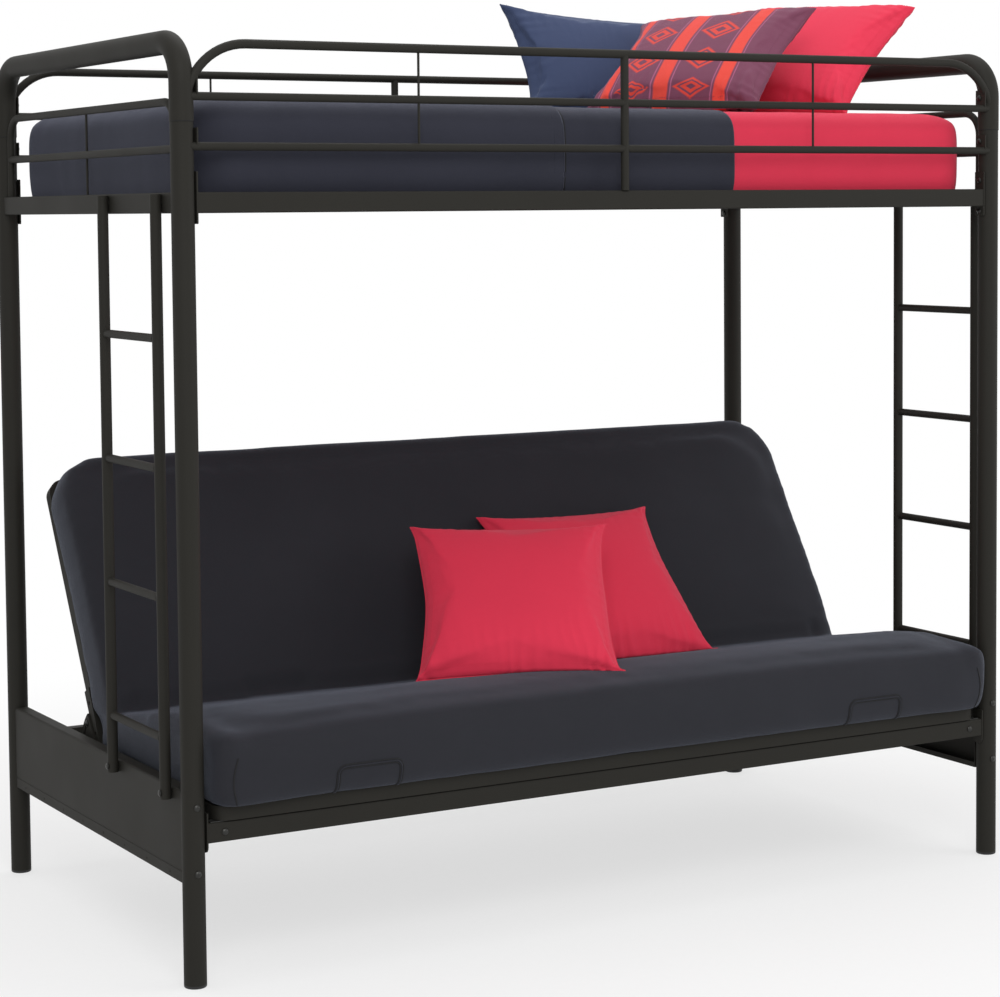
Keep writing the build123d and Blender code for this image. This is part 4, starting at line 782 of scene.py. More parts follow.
class BUNK_OT_hoop_shadow_lines(MakesPiece):
    """Draws a thin dark ring of painted shade under each hoop's foot, where it meets its post"""

    bl_idname = "bunk.hoop_joints"
    bl_label = "Hoop joint lines"

    line: FloatProperty(name="Line", description="Radius of the joint line", default=0.0011, unit="LENGTH")

    def make(self, scene):
        rings = []
        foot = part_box("left_end_hoop")[0][2]
        turns = [2 * pi * k / 32 for k in range(33)]
        for node in ("front_left_post", "front_right_post", "rear_left_post", "rear_right_post"):
            low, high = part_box(node)
            radius = (high[0] - low[0]) / 2 + 0.0003
            middle = Vector(((low[0] + high[0]) / 2, (low[1] + high[1]) / 2, foot - 0.0005))
            rings.append([middle + Vector((radius * cos(a), radius * sin(a), 0)) for a in turns])
        # Each ring is a dark line of painted shade in the step where the hoop meets its post
        tube_along("hoop_joint_lines", rings, self.line, POWDER, "frame", SHADE_LINE)


# The fold: a point of the pivot line, a point of the fold's middle plane, and the ways across and along that plane
# The back at rest: the ways up its length and out of its face
PIVOT = Vector((0, 0.103, 0.332))
FOLD = Vector((0, 0.095, 0.346))
ACROSS = Vector((0, cos(radians(30)), sin(radians(30))))
ALONG = Vector((0, -sin(radians(30)), cos(radians(30))))
BACK_UP = Vector((0, cos(radians(60)), sin(radians(60))))
BACK_OUT = Vector((0, -sin(radians(60)), cos(radians(60))))

# The futon's half length and seat front: as the solids have them, and the farthest that its folds may reach
FUTON_HALF, FUTON_HALF_MOST = 0.9465, 0.950
SEAT_FRONT, SEAT_FRONT_MOST = -0.5605, -0.562

# Where the flat faces end and the rounded edges begin: seat end, front and top, and the back's end
SEAT_FLAT = (0.870, -0.485, 0.420)
BACK_FLAT = 0.895

# The undersides: height of the seat's, and the back's distance from the pivot
SEAT_UNDERSIDE, BACK_UNDERSIDE = 0.3463, 0.0145

# Room that the futon leaves for the hinge plates: where it begins along the sofa, and its radius about the pivot
HINGE_ROOM_X, HINGE_ROOM_RADIUS = 0.895, 0.150


def on_seat(points):
    """True for the points on the seat's side of the fold."""
    return (points - np.array(FOLD)) @ np.array(ACROSS) < 0


def from_pivot(points, way):
    """How far points lie from the pivot line along a direction."""
    return (points - np.array(PIVOT)) @ np.array(way)


def fold_bridge(mesh):
    """Adds a thin plate inside the fold, so that the two halves become one skin."""
    bm = bmesh.new()
    bm.from_mesh(mesh)
    corners = []
    for x in (-0.925, 0.925):
        for up in (0.004, 0.088):
            for out in (-0.012, 0.012):
                corners.append(bm.verts.new(FOLD + ALONG * up + ACROSS * out + Vector((x, 0, 0))))
    plate = bmesh.ops.convex_hull(bm, input=corners)
    bmesh.ops.recalc_face_normals(bm, faces=[f for f in plate["geom"] if isinstance(f, bmesh.types.BMFace)])
    bm.to_mesh(mesh)
    bm.free()


def fuller(reach, power):
    """Reaches past a rounded edge or corner, filled out towards a square one."""
    past = np.maximum(reach, 0)
    square = (past ** power).sum(1) ** (1 / power)
    grown = past * (np.linalg.norm(past, axis=1) / np.maximum(square, 1e-6))[:, None]
    return np.where(reach > 0, grown, reach)


class BUNK_OT_futon(MakesPiece):
    """Makes the one folded mattress that is the sofa's seat and back"""

    bl_idname = "bunk.futon"
    bl_label = "Futon mattress"

    def make(self, scene):
        s = scene.bunk_futon
        mesh = solid_copy("seat_mattress", "back_mattress")
        fold_bridge(mesh)
        piece = remeshed("futon_mattress", mesh, s.cell)
        cad = points_of(piece.data)
        start = smoothed(piece.data, 4)
        blow_up(piece, s.pressure, frames=16, tension=20.0, bending=3.0)
        points = capped(start, points_of(piece.data), s.swell)
        points = self.pressed(self.filled_out(self.regrown(points)))
        held = self.held(cad)
        points = cad * held + points * (1 - held)
        set_points(piece.data, self.within(points))
        mesh = subdivided(piece)
        points = points_of(mesh)
        normal = normals_of(mesh)
        soft = 0.0016 * ripple(points, (5.0, 9.0, 9.0)) + 0.0007 * ripple(points, (17.0, 26.0, 26.0), 4.0)
        points += normal * soft[:, None]
        set_points(mesh, self.within(points))
        bpy.data.objects.remove(piece)
        piece = new_piece("futon_mattress", mesh, FUTON)
        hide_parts("seat_mattress", "back_mattress")
        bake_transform(piece)

    def regrown(self, points):
        """Brings the ends and the seat's front back out to where the solids have them."""
        points = points.copy()
        points[:, 0] *= FUTON_HALF / np.abs(points[:, 0]).max()
        short = points[:, 1].min() - SEAT_FRONT
        points[:, 1] -= short * np.clip((-0.25 - points[:, 1]) / 0.25, 0, 1)
        return points

    def filled_out(self, points):
        """Fills the rounded edges and corners out, as packed foam does."""
        points = points.copy()
        seat = on_seat(points)
        side = np.sign(points[:, 0])
        end, front, crown = SEAT_FLAT
        reach = np.stack([np.abs(points[:, 0]) - end, front - points[:, 1], points[:, 2] - crown], 1)
        near_end = np.clip(reach[:, :1] / 0.05, 0, 1)
        full = reach + (fuller(reach, 3.4) - reach) * near_end * near_end * (3 - 2 * near_end)
        points[seat] = np.stack([side * (full[:, 0] + end), front - full[:, 1], full[:, 2] + crown], 1)[seat]
        rise, up = from_pivot(points, BACK_OUT), from_pivot(points, BACK_UP)
        face, top = rise[~seat].max() - 0.05, up.max() - 0.05
        reach = np.stack([np.abs(points[:, 0]) - BACK_FLAT, rise - face, up - top], 1)
        grown = fuller(reach, 3.0) - reach
        moved = np.outer(grown[:, 1], np.array(BACK_OUT)) + np.outer(grown[:, 2], np.array(BACK_UP))
        moved[:, 0] = side * grown[:, 0]
        points[~seat] += moved[~seat]
        return points

    def pressed(self, points):
        """Lets the seat fall towards the back, where it is sat on, and draws the crease in."""
        points = points.copy()
        seat = on_seat(points)
        fall = np.clip((points[:, 1] + 0.36) / 0.38, 0, 1)
        fall = fall * fall * (3 - 2 * fall) * np.clip((points[:, 2] - 0.39) / 0.04, 0, 1)
        points[seat, 2] -= 0.026 * fall[seat]
        far = np.hypot(points[:, 1] - 0.050, points[:, 2] - 0.440)
        points -= np.outer(0.024 * np.exp(-((far / 0.030) ** 2)), np.array(ALONG))
        return points

    def held(self, points):
        """1 where the mattress makes room for the hinge plates, falling to 0 away from them."""
        far = np.hypot(points[:, 1] - PIVOT.y, points[:, 2] - PIVOT.z)
        near_end = np.clip((np.abs(points[:, 0]) - HINGE_ROOM_X) / 0.02, 0, 1)
        return (near_end * np.clip((HINGE_ROOM_RADIUS - far) / 0.03, 0, 1))[:, None]

    def within(self, points):
        """Keeps the underside on its frame and the ends inside their length."""
        points = points.copy()
        seat = on_seat(points)
        points[seat, 2] = np.maximum(points[seat, 2], SEAT_UNDERSIDE)
        rise = from_pivot(points, BACK_OUT)
        low = ~seat & (rise < BACK_UNDERSIDE)
        points[low] += np.outer(BACK_UNDERSIDE - rise[low], np.array(BACK_OUT))
        points[:, 0] = np.clip(points[:, 0], -FUTON_HALF_MOST, FUTON_HALF_MOST)
        points[:, 1] = np.maximum(points[:, 1], SEAT_FRONT_MOST)
        return points


# Where the futon's trim is drawn flat before it is laid on the front
DRAWING_Y = -0.56


def laid_on_front(tree, points):
    """A flat drawing laid on the front of a piece, by casting its points from before it towards the rear."""
    run = []
    for p in points:
        spot, normal, _, _ = tree.ray_cast(Vector(p) + Vector((0, -0.3, 0)), Vector((0, 1, 0)))
        if spot is not None:
            run.append(spot + normal * 0.0004)
    return run


class BUNK_OT_futon_trim(MakesPiece):
    """Lays the two piped outlines on the futon's front, with dark lines of painted shade beside them and along the end
    seams
    """

    bl_idname = "bunk.futon_trim"
    bl_label = "Futon piping and seams"

    flap_half: FloatProperty(
        name="Outline width", description="Half the width of a piped outline",
        default=0.069, unit="LENGTH",
    )
    flap_top: FloatProperty(name="Outline top", description="Height of the outline's top", default=0.402, unit="LENGTH")
    flap_left: FloatProperty(
        name="Left outline", description="Middle of the left outline",
        default=-0.622, unit="LENGTH",
    )
    flap_right: FloatProperty(
        name="Right outline", description="Middle of the right outline",
        default=0.622, unit="LENGTH",
    )
    seam_x: FloatProperty(
        name="End seam", description="Where the end seams run up the front",
        default=0.905, unit="LENGTH",
    )

    def make(self, scene):
        tree = tree_of(bpy.data.objects["futon_mattress"])
        s = scene.bunk_futon
        for name, material, radius, offsets in (
            ("futon_piping", FUTON, s.piping / 2, (0.0,)),
            # Dark lines of painted shade on each side of the piping
            ("futon_piping_seams", SHADE_LINE, 0.0015, (-0.0034, 0.0034)),
        ):
            outlines = [
                laid_on_front(tree, self.outline(middle, offset))
                for middle in (self.flap_left, self.flap_right) for offset in offsets
            ]
            tube_along(name, outlines, radius, FUTON, "seat", material)
        # Dark lines of painted shade along the end seams
        seams = [laid_on_front(tree, self.end_seam(side)) for side in (-1, 1)]
        tube_along("futon_end_seams", seams, 0.0015, FUTON, "seat", SHADE_LINE)

    def end_seam(self, side):
        """The run of a seam that climbs the front near one end, bowed a little outwards; a dark line of painted shade
        is drawn along it.
        """
        steps = 15
        climb = []
        for k in range(steps + 1):
            x = side * (self.seam_x + 0.010 * sin(k / steps * pi))
            climb.append((x, DRAWING_Y, 0.352 + 0.092 * k / steps))
        return climb

    def outline(self, middle, offset):
        """Three sides of a rounded rectangle, open below, grown by an offset."""
        half, top, corner = self.flap_half + offset, self.flap_top + offset, 0.016 + offset
        low = 0.3485
        run = [(middle - half, DRAWING_Y, z) for z in np.linspace(low, top - corner, 8)]
        for k in range(1, 8):
            a = k / 8 * pi / 2
            run.append((middle - half + corner * (1 - cos(a)), DRAWING_Y, top - corner * (1 - sin(a))))
        right = [(2 * middle - x, y, z) for x, y, z in reversed(run)]
        top_run = [(x, DRAWING_Y, top) for x in np.linspace(middle - half + corner, middle + half - corner, 12)]
        return run + top_run + right


class BUNK_OT_mattress(MakesPiece):
    """Makes the bunk mattress in its fitted crimson sheet"""

    bl_idname = "bunk.mattress"
    bl_label = "Bunk mattress"

    def make(self, scene):
        s = scene.bunk_bedding
        piece = remeshed("bunk_mattress", solid_copy("upper_mattress"), s.cell)
        start = smoothed(piece.data, 3)
        blow_up(piece, pressure=4.0, frames=12, tension=20.0, bending=3.0)
        points = capped(start, points_of(piece.data), s.swell)
        points[:, 2] -= s.sink * np.clip((points[:, 2] - 1.60) / 0.09, 0, 1)
        set_points(piece.data, self.within(points))
        mesh = subdivided(piece)
        points = points_of(mesh)
        normal = normals_of(mesh)
        side = np.abs(normal[:, 1])
        folds = 0.0016 * ripple(points, (9.0, 6.0, 2.5), 3.0) * (0.4 + side)
        fine = 0.0006 * ripple(points, (30.0, 22.0, 5.0), 9.0)
        points += normal * (folds + fine)[:, None]
        set_points(mesh, self.within(points))
        bpy.data.objects.remove(piece)
        piece = new_piece("bunk_mattress", mesh, CRIMSON)
        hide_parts("upper_mattress")
        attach(piece, "frame")

    def within(self, points):
        """Stays on the slats and inside the posts."""
        low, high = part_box("upper_mattress")
        return np.clip(points, np.array(low) + 0.0002, np.array(high) + (0.001, 0.001, 0.0004))


# Half the mattress's width, its foot end, the covers' drop at the sides and the blanket's tuck under the duvet
MATTRESS_HALF_WIDTH, MATTRESS_FOOT_X = 0.480, -0.96
COVER_DROP, BLANKET_TUCK = 0.165, 0.05


def cover_mesh(source, x0, x1, hem, loft, top, seed, edge_roll=False):
    """Skin of a cover on the mattress: the mattress's own between two cuts and above the hem, lifted and rippled."""
    bm = bmesh.new()
    bm.from_mesh(source)
    cuts = [((0, 0, hem), (0, 0, -1))]
    if x0 is not None:
        cuts.append(((x0, 0, 0), (-1, 0, 0)))
    cuts.append(((x1, 0, 0), (1, 0, 0)))
    for place, out in cuts:
        everything = bm.verts[:] + bm.edges[:] + bm.faces[:]
        bmesh.ops.bisect_plane(bm, geom=everything, plane_co=place, plane_no=out, clear_outer=True)
    mesh = bpy.data.meshes.new("cover")
    bm.to_mesh(mesh)
    bm.free()
    points = points_of(mesh)
    normal = normals_of(mesh)
    normal[:, 0] *= np.abs(points[:, 0]) > 0.90
    normal /= np.linalg.norm(normal, axis=1, keepdims=True)
    side = np.clip(1 - normal[:, 2], 0, 1)
    rise = np.clip((points[:, 2] - hem) / 0.05, 0, 1)
    lift = loft * (0.72 + 0.28 * rise) * (1 - 0.45 * np.abs(normal[:, 0]))
    if edge_roll:
        away = np.clip((x1 - points[:, 0]) / 0.05, 0, 1)
        lift *= 0.86 + 0.14 * np.sqrt(away)
    folds = ripple(points, (8.0, 5.0, 2.2), seed) * (0.0012 + 0.0016 * side)
    fine = ripple(points, (24.0, 20.0, 9.0), seed + 5) * 0.0005
    points += normal * (lift + folds + fine)[:, None]
    points[:, 2] = np.minimum(points[:, 2], top + loft + 0.0002)
    set_points(mesh, points)
    return mesh


def with_thickness(piece, thin):
    """Gives a cover its thickness, inwards."""
    wall = piece.modifiers.new("Wall", "SOLIDIFY")
    wall.thickness = thin
    wall.offset = -1
    return finished_mesh(piece)


def cut_line(mesh, x, tolerance=0.0015):
    """The open edge at one end of a cover, in order from the front hem over the top to the rear hem."""
    points = points_of(mesh)
    near = points[np.abs(points[:, 0] - x) < tolerance]
    angle = np.arctan2(near[:, 2] - 1.55, near[:, 1])
    return near[np.argsort(-angle)]


class BUNK_OT_covers(MakesPiece):
    """Drapes the duvet and the blanket over the mattress"""

    bl_idname = "bunk.covers"
    bl_label = "Duvet and blanket"

    def make(self, scene):
        s = scene.bunk_bedding
        source = bpy.data.objects["bunk_mattress"].data
        top = points_of(source)[:, 2].max()
        tucked = s.duvet_edge - BLANKET_TUCK
        blanket = cover_mesh(source, tucked, s.blanket_edge, s.hem_z, s.blanket_loft, top, seed=11.0)
        reach = s.blanket_edge - s.duvet_edge + BLANKET_TUCK
        self.finish_cover("blanket_cloth", "blanket", blanket, thin=0.0022, reach=reach)
        duvet = cover_mesh(source, None, s.duvet_edge, s.hem_z, s.duvet_loft, top, seed=23.0, edge_roll=True)
        edge = cut_line(duvet, s.duvet_edge)
        reach = s.duvet_edge - MATTRESS_FOOT_X
        self.finish_cover("duvet_cloth", "duvet", duvet, thin=0.0040, reach=reach, end_drop=COVER_DROP)
        inside = [Vector(p) - Vector((0.0010, 0, 0.0)) for p in edge[::2]]
        roll = [p + self.inward(p, top) * 0.0042 for p in inside]
        tube_along("duvet_edge", [roll], s.roll, NAVY, "frame", NAVY, roundness=2)
        # A dark line of painted shadow in the gap beside the duvet's rolled edge, not a real cord
        piped = [Vector(p) + self.inward(p, top) * 0.0046 + Vector((0.0060, 0, 0)) for p in edge[::2]]
        tube_along("duvet_piping", [piped], 0.0022, NAVY, "frame", SHADE_LINE)
        seam = cut_line(duvet, s.duvet_edge - 0.020, 0.0065)
        row = [Vector(p) - self.inward(p, top) * 0.0003 for p in seam[::3]]
        stitches("duvet_stitching", row, "frame", NAVY, pitch=0.006, length=0.0042, thick=0.0012)

    def inward(self, p, top):
        """The way from the duvet's face to the mattress, turning over the rounded edge."""
        across = np.clip((abs(p[1]) - 0.44) / 0.04, 0, 1) * -np.sign(p[1])
        down = -np.clip((p[2] - (top - 0.05)) / 0.05, 0, 1)
        return Vector((0, across, down)).normalized()

    def finish_cover(self, name, node, mesh, thin, reach, end_drop=0.0):
        """Thickens a cover. Its reach along the bed and its drop where it hangs at the foot are not used."""
        piece = new_piece(name, mesh, NAVY)
        smooth_shaded(with_thickness(piece, thin))
        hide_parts(node)
        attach(piece, "frame")


def grid_step(k, n):
    """Step k of n across a cover as -1 to 1, with the cells narrower towards its edges."""
    return sin((k / n - 0.5) * pi) * 0.35 + (2 * k / n - 1) * 0.65


def pillow_case(n, width, height, thick, dips):
    """Two sheets of n by n cells joined in a knife edge that is drawn in between its corners, with a UV map."""
    dip, top_dip, low_dip = dips
    points, where = [], {}

    def key(side, i, j):
        """Names a vertex: the two sheets share those of their rim."""
        return (0 if i in (0, n) or j in (0, n) else side, i, j)

    for side in (1, -1):
        for j in range(n + 1):
            for i in range(n + 1):
                if key(side, i, j) in where:
                    continue
                u, v = grid_step(i, n), grid_step(j, n)
                full = ((1 - abs(u) ** 2.3) * (1 - abs(v) ** 2.3)) ** 0.56
                x = width / 2 * u * (1 - 2 * dip / width * (1 - v * v) * u * u)
                drawn = top_dip if v > 0 else low_dip
                y = height / 2 * v * (1 - 2 * drawn / height * (1 - u * u) * v * v)
                where[key(side, i, j)] = len(points)
                points.append((x, y, side * thick / 2 * full))
    faces, corners = [], []
    for side in (1, -1):
        for j in range(n):
            for i in range(n):
                spots = [(i, j), (i + 1, j), (i + 1, j + 1), (i, j + 1)]
                if side < 0:
                    spots.reverse()
                faces.append([where[key(side, a, b)] for a, b in spots])
                corners += [(a / n, b / n) for a, b in spots]
    mesh = bpy.data.meshes.new("case")
    mesh.from_pydata(points, [], faces)
    layer = mesh.uv_layers.new(name="Cloth")
    layer.data.foreach_set("uv", np.array(corners, np.float32).ravel())
    return mesh, where


def square_loop(n, inset):
    """Grid steps once round a square of cells, a number of cells in from its edge."""
    a, b = inset, n - inset
    loop = [(i, a) for i in range(a, b)] + [(b, j) for j in range(a, b)]
    return loop + [(i, b) for i in range(b, a, -1)] + [(a, j) for j in range(b, a, -1)] + [(a, a)]


# Share of its full thickness that a cover starts with, and how much of the filling sinks towards the lower edge
SEWN, SLUMP = 0.86, 0.22


def stuffed(name, s, width, height, thick, dips, seed):
    """A cover cut a little too large, filled by cloth pressure so that it creases, then fitted to its size."""
    mesh, where = pillow_case(s.cells, width, height, thick * SEWN, dips)
    piece = in_scene(name, mesh)
    start = points_of(mesh)
    shaken = start.copy()
    shaken[:, 2] += 0.0012 * ripple(start, (38, 38, 60), 7.0 * seed + 1)
    set_points(mesh, shaken)
    blow_up(piece, s.pressure, s.frames, tension=12.0, bending=0.05, growth=s.spare)
    points = points_of(piece.data)
    edge = np.abs(start[:, 2]) < 1e-6
    points = capped(start, points, np.where(edge, s.edge_give, s.give)[:, None])
    low, high = points.min(0), points.max(0)
    points -= (low + high) / 2
    points *= np.array((width, height, thick)) / (high - low)
    full = np.sign(start[:, 2]) * (np.abs(start[:, 2]) / (SEWN / 2 * thick)) ** 0.72 * thick / 2
    points[:, 2] += s.plump * (full - points[:, 2])
    up = points[:, 1] / height + 0.5
    points[:, 2] *= 1 + SLUMP * (0.5 - up)
    points[:, 0] += 0.004 * np.sin(up * pi * 2 + seed) * (1 - np.abs(2 * up - 1))
    set_points(piece.data, points)
    mesh = subdivided(piece)
    bpy.data.objects.remove(piece)
    return mesh, where


class Pillow(NamedTuple):
    """A pillow or cushion: the solid that it replaces, its slot, its size and how it stands.

    The dips are how far its sides, top and bottom are drawn in, the spot is the middle of its lower edge, taller is
    the share by which one side is taller, and the nudge moves it from its solid's place.
    """

    node: str
    slot: str
    width: float
    height: float
    thick: float
    dips: tuple
    spot: tuple
    turn: float
    lean: float
    roll: float = 0
    taller: float = 0.0
    nudge: tuple = (0, 0, 0)


PILLOWS = (
    Pillow(
        "blue_pillow", BLUE, 0.450, 0.301, 0.110, dips=(0.016, 0.010, 0.003),
        spot=(0.372, 0.105), turn=-5, lean=62, taller=0.07, nudge=(-0.012, 0, -0.002),
    ),
    Pillow(
        "patterned_pillow", PATTERNED, 0.448, 0.378, 0.110, dips=(0.012, -0.004, 0.003),
        spot=(0.330, -0.190), turn=-62, lean=38, taller=-0.045,
    ),
    Pillow(
        "crimson_pillow", CRIMSON, 0.450, 0.405, 0.120, dips=(0.014, -0.008, 0.004),
        spot=(0.620, -0.145), turn=-66, lean=41, roll=-3, nudge=(0.004, 0, 0),
    ),
)
CUSHIONS = (
    Pillow(
        "front_cushion", CRIMSON, 0.452, 0.457, 0.130, dips=(0.020, 0.014, 0.003),
        spot=(-0.155, -0.325), turn=-26, lean=39, nudge=(-0.008, -0.026, -0.009),
    ),
    Pillow(
        "rear_cushion", CRIMSON, 0.455, 0.477, 0.130, dips=(0.020, 0.014, 0.004),
        spot=(0.208, -0.166), turn=-4, lean=42, nudge=(0.014, -0.016, -0.020),
    ),
)

# How close a pillow lies on what carries it
CONTACT = 0.0006


def gathered(points, width, height, seed):
    """Small creases that run in from the seams of a cover, deepest from the lower one, and die away inwards."""
    spacing, reach, depth = 0.027, 0.040, 0.0054
    total = np.zeros(len(points))
    edges = ((0, 1, height, 0.6), (0, 1, -height, 1.7), (1, 0, width, 0.6), (1, 0, -width, 0.6))
    for edge, (along, across, size, strength) in enumerate(edges):
        from_edge = np.abs(points[:, across] - size / 2)
        run = points[:, along]
        wander = np.array([noise.noise(Vector((r * 14, f * 9, seed + 3.7 * edge))) for r, f in zip(run, from_edge)])
        wave = np.sin(run * 2 * pi / spacing + 6 * wander) * (0.5 + wander)
        total += wave * np.exp(-from_edge / reach) * strength
    thick = np.abs(points[:, 2])
    points[:, 2] += np.sign(points[:, 2]) * depth * total * thick / (thick + 0.008)
    return points


def lay_pillow(s, row, body, supports, sink, seed):
    """Makes one pillow with its seam and stands it where its CAD solid stands, flattened only where it touches."""
    node, slot, width, height = row.node, row.slot, row.width, row.height
    name = node + "_stuffed"
    mesh, where = stuffed(name, s, width, height, row.thick, row.dips, seed)
    flat = gathered(points_of(mesh), width, height, 2.0 * seed)
    flat[:, 1] = (flat[:, 1] + height / 2) * (1 - row.taller * flat[:, 0] / (width / 2)) - height / 2
    set_points(mesh, flat)
    turn, lean, roll = (
        Matrix.Rotation(radians(angle), 4, axis)
        for angle, axis in ((row.turn, "Z"), (row.lean, "X"), (row.roll, "Z"))
    )
    mesh.transform(Matrix.Translation((*row.spot, 0)) @ turn @ lean @ Matrix.Translation((0, height / 2, 0)) @ roll)
    points = points_of(mesh)
    low, high = (np.array(c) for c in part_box(node))
    middle = (points.min(0) + points.max(0)) / 2
    shift = (low + high) / 2 - middle
    shift[2] = low[2] - points[:, 2].min() - s.settle - sink
    points = kept_out(points + shift + np.array(row.nudge), supports, CONTACT)
    set_points(mesh, points)
    piece = new_piece(name, mesh, slot)
    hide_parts(node)
    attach(piece, body)
    rim = [points[where[(0, i, j)]] for i, j in square_loop(s.cells, 0)]
    seam = tube_along(node + "_seam", [rim], s.seam, slot, body, slot)
    normal = normals_of(mesh)
    inner = [where[(1, i, j)] for i, j in square_loop(s.cells, 2)]
    sewn_line = [points[k] + normal[k] * 0.0002 for k in inner]
    sewn = stitches(node + "_stitches", sewn_line, body, slot, pitch=0.0056, length=0.0040, thick=0.0011)
    return piece, seam, sewn


class BUNK_OT_pillows(MakesPiece):
    """Stuffs the three pillows and leans them on the bunk"""

    bl_idname = "bunk.pillows"
    bl_label = "Bunk pillows"

    def make(self, scene):
        supports = [tree_of(bpy.data.objects["bunk_mattress"]), tree_of(bpy.data.objects["blanket_cloth"])]
        for seed, row in enumerate(PILLOWS):
            lay_pillow(scene.bunk_cushion, row, "frame", supports, scene.bunk_bedding.sink, seed)


class BUNK_OT_cushions(MakesPiece):
    """Stuffs the two crimson throw cushions and stands them on the futon"""

    bl_idname = "bunk.cushions"
    bl_label = "Throw cushions"

    def make(self, scene):
        supports = [tree_of(bpy.data.objects["futon_mattress"])]
        for seed, row in enumerate(CUSHIONS):
            low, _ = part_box(row.node)
            for piece in lay_pillow(scene.bunk_cushion, row, "seat", supports, 0.0, 5 + seed):
                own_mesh(piece)


# The lamps, each with its place and size: their powers are the stage's settings of the same names
LAMPS = (
    ("key", (-2.4, -4.9, 4.2), 3.2),
    ("fill", (4.2, -3.6, 2.4), 3.0),
    ("top", (0.3, 0.4, 4.8), 3.4),
)
LAMP_AIM = Vector((0, 0, 0.9))


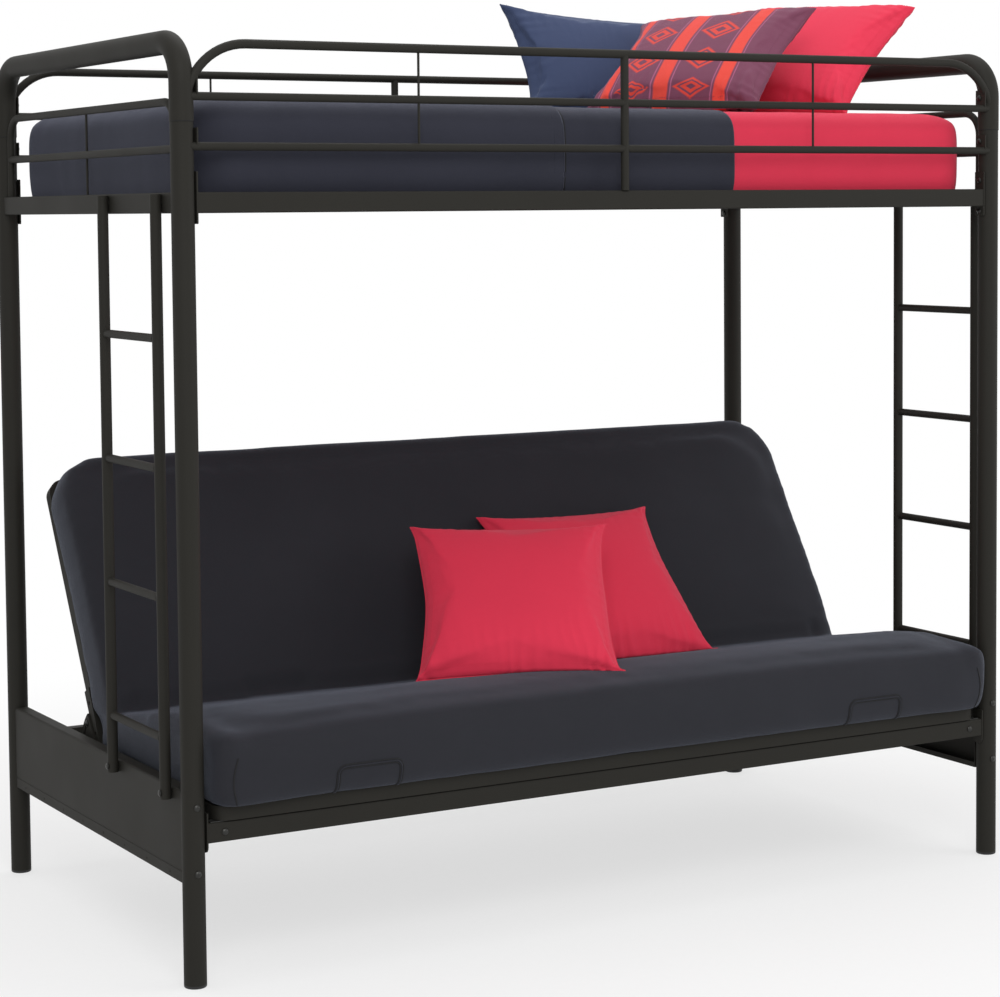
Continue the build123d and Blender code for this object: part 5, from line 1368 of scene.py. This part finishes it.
class BUNK_OT_stage(MakesPiece):
    """Sets the pale floor, the soft lamps and the camera at the photograph's angle"""

    bl_idname = "bunk.stage"
    bl_label = "Stage"

    def make(self, scene):
        s = scene.bunk_stage
        scene.view_settings.view_transform = "Standard"
        self.camera(scene, s)
        self.world(scene, s)
        self.floor(s)
        for name, place, size in LAMPS:
            self.lamp(name, place, getattr(s, name), size)

    def camera(self, scene, s):
        """The photograph's camera: yaw, pitch and roll, with the frame shifted down."""
        data = bpy.data.cameras.new("view")
        data.sensor_width = 36
        data.lens = s.lens
        data.shift_y = s.shift
        data.clip_end = 100
        camera = in_scene("view", data)
        forward = Vector((sin(s.yaw) * cos(s.pitch), cos(s.yaw) * cos(s.pitch), -sin(s.pitch)))
        level = Vector((cos(s.yaw), -sin(s.yaw), 0))
        above = level.cross(forward)
        right = level * cos(s.roll) + above * sin(s.roll)
        up = above * cos(s.roll) - level * sin(s.roll)
        turn = Matrix((right, up, -forward)).transposed().to_4x4()
        camera.matrix_world = Matrix.Translation(s.place) @ turn
        scene.camera = camera

    def seen(self, tree):
        """1 for what the camera sees, straight, in a reflection or through glass."""
        path = tree.node("ShaderNodeLightPath")
        rays = [Value(tree, path.outputs[k]) for k in ("Is Camera Ray", "Is Glossy Ray", "Is Transmission Ray")]
        return tree.maths("MAXIMUM", tree.maths("MAXIMUM", rays[0], rays[1]), rays[2])

    def world(self, scene, s):
        """White to the camera, and softer as light on the piece."""
        world = bpy.data.worlds.new("studio")
        scene.world = world
        world.use_nodes = True
        world.node_tree.nodes.clear()
        tree = Tree(world.node_tree)
        seen = self.seen(tree)
        strength = seen * (1 - s.ambient) + s.ambient
        sky = tree.node("ShaderNodeBackground", {}, {"Color": (1, 1, 1, 1), "Strength": strength})
        tree.node("ShaderNodeOutputWorld", {}, {"Surface": sky.outputs[0]})

    def floor(self, s):
        """White paper that takes a soft shadow near the feet and fades to plain white around them."""
        half = 30.0
        mesh = bpy.data.meshes.new("floor")
        mesh.from_pydata([(-half, -half, 0), (half, -half, 0), (half, half, 0), (-half, half, 0)], [], [(0, 1, 2, 3)])
        floor = in_scene("floor", mesh)
        sh = Shader("floor_paper", roughness=0.9, specular_ior_level=0.1)
        place = sh.place()
        x, y, _ = sh.split(place)
        far = (x * x + y * y) ** 0.5
        fade = sh.step(far, 1.25, 2.9)
        grain = sh.noise(place, 60.0, 2.0)
        sh.feed("Base Color", sh.mix(grain, (0.86, 0.86, 0.86, 1), (0.90, 0.90, 0.90, 1)))
        glow = sh.node("ShaderNodeEmission", {}, {"Color": (1, 1, 1, 1), "Strength": 1.0})
        share = (fade * (1 - s.floor_glow) + s.floor_glow) * self.seen(sh)
        both = sh.node("ShaderNodeMixShader", {}, {0: share, 1: sh.surface.outputs[0], 2: glow.outputs[0]})
        output = next(n for n in sh.node_tree.nodes if n.type == "OUTPUT_MATERIAL")
        sh.node_tree.links.new(both.outputs[0], output.inputs["Surface"])
        mesh.materials.append(sh.material)

    def lamp(self, name, place, power, size):
        """A square soft lamp that looks at the piece's middle."""
        data = bpy.data.lights.new(name, "AREA")
        data.energy = power
        data.size = size
        lamp = in_scene(name, data)
        lamp.location = place
        lamp.rotation_mode = "QUATERNION"
        lamp.rotation_quaternion = (LAMP_AIM - Vector(place)).to_track_quat("-Z", "Y")


OPERATORS = (
    BUNK_OT_stage,
    BUNK_OT_metal,
    BUNK_OT_welds,
    BUNK_OT_hoop_shadow_lines,
    BUNK_OT_futon,
    BUNK_OT_futon_trim,
    BUNK_OT_mattress,
    BUNK_OT_covers,
    BUNK_OT_pillows,
    BUNK_OT_cushions,
)


class BUNK_PT_sidebar(bpy.types.Panel):
    """Lists the sizes, the colours and a button for each piece"""

    bl_idname = "BUNK_PT_sidebar"
    bl_label = "Bunk bed"
    bl_space_type = "VIEW_3D"
    bl_region_type = "UI"
    bl_category = "Bunk bed"

    def draw(self, context):
        layout = self.layout
        for key, group in SETTINGS.items():
            box = layout.box()
            box.label(text=group.__doc__)
            for name in group.__annotations__:
                box.prop(getattr(context.scene, key), name)
        for operator in OPERATORS:
            layout.operator(operator.bl_idname)


def register():
    """Adds the settings, the operators and the panel."""
    for group in SETTINGS.values():
        bpy.utils.register_class(group)
    for key, group in SETTINGS.items():
        setattr(bpy.types.Scene, key, PointerProperty(type=group))
    for operator in OPERATORS:
        bpy.utils.register_class(operator)
    bpy.utils.register_class(BUNK_PT_sidebar)


def unregister():
    """Takes them off again, in reverse."""
    bpy.utils.unregister_class(BUNK_PT_sidebar)
    for operator in reversed(OPERATORS):
        bpy.utils.unregister_class(operator)
    for key in SETTINGS:
        delattr(bpy.types.Scene, key)
    for group in SETTINGS.values():
        bpy.utils.unregister_class(group)


def main():
    """Registers and makes every piece in order."""
    register()
    for operator in OPERATORS:
        group, name = operator.bl_idname.split(".")
        getattr(getattr(bpy.ops, group), name)()


if __name__ == "__main__":
    main()
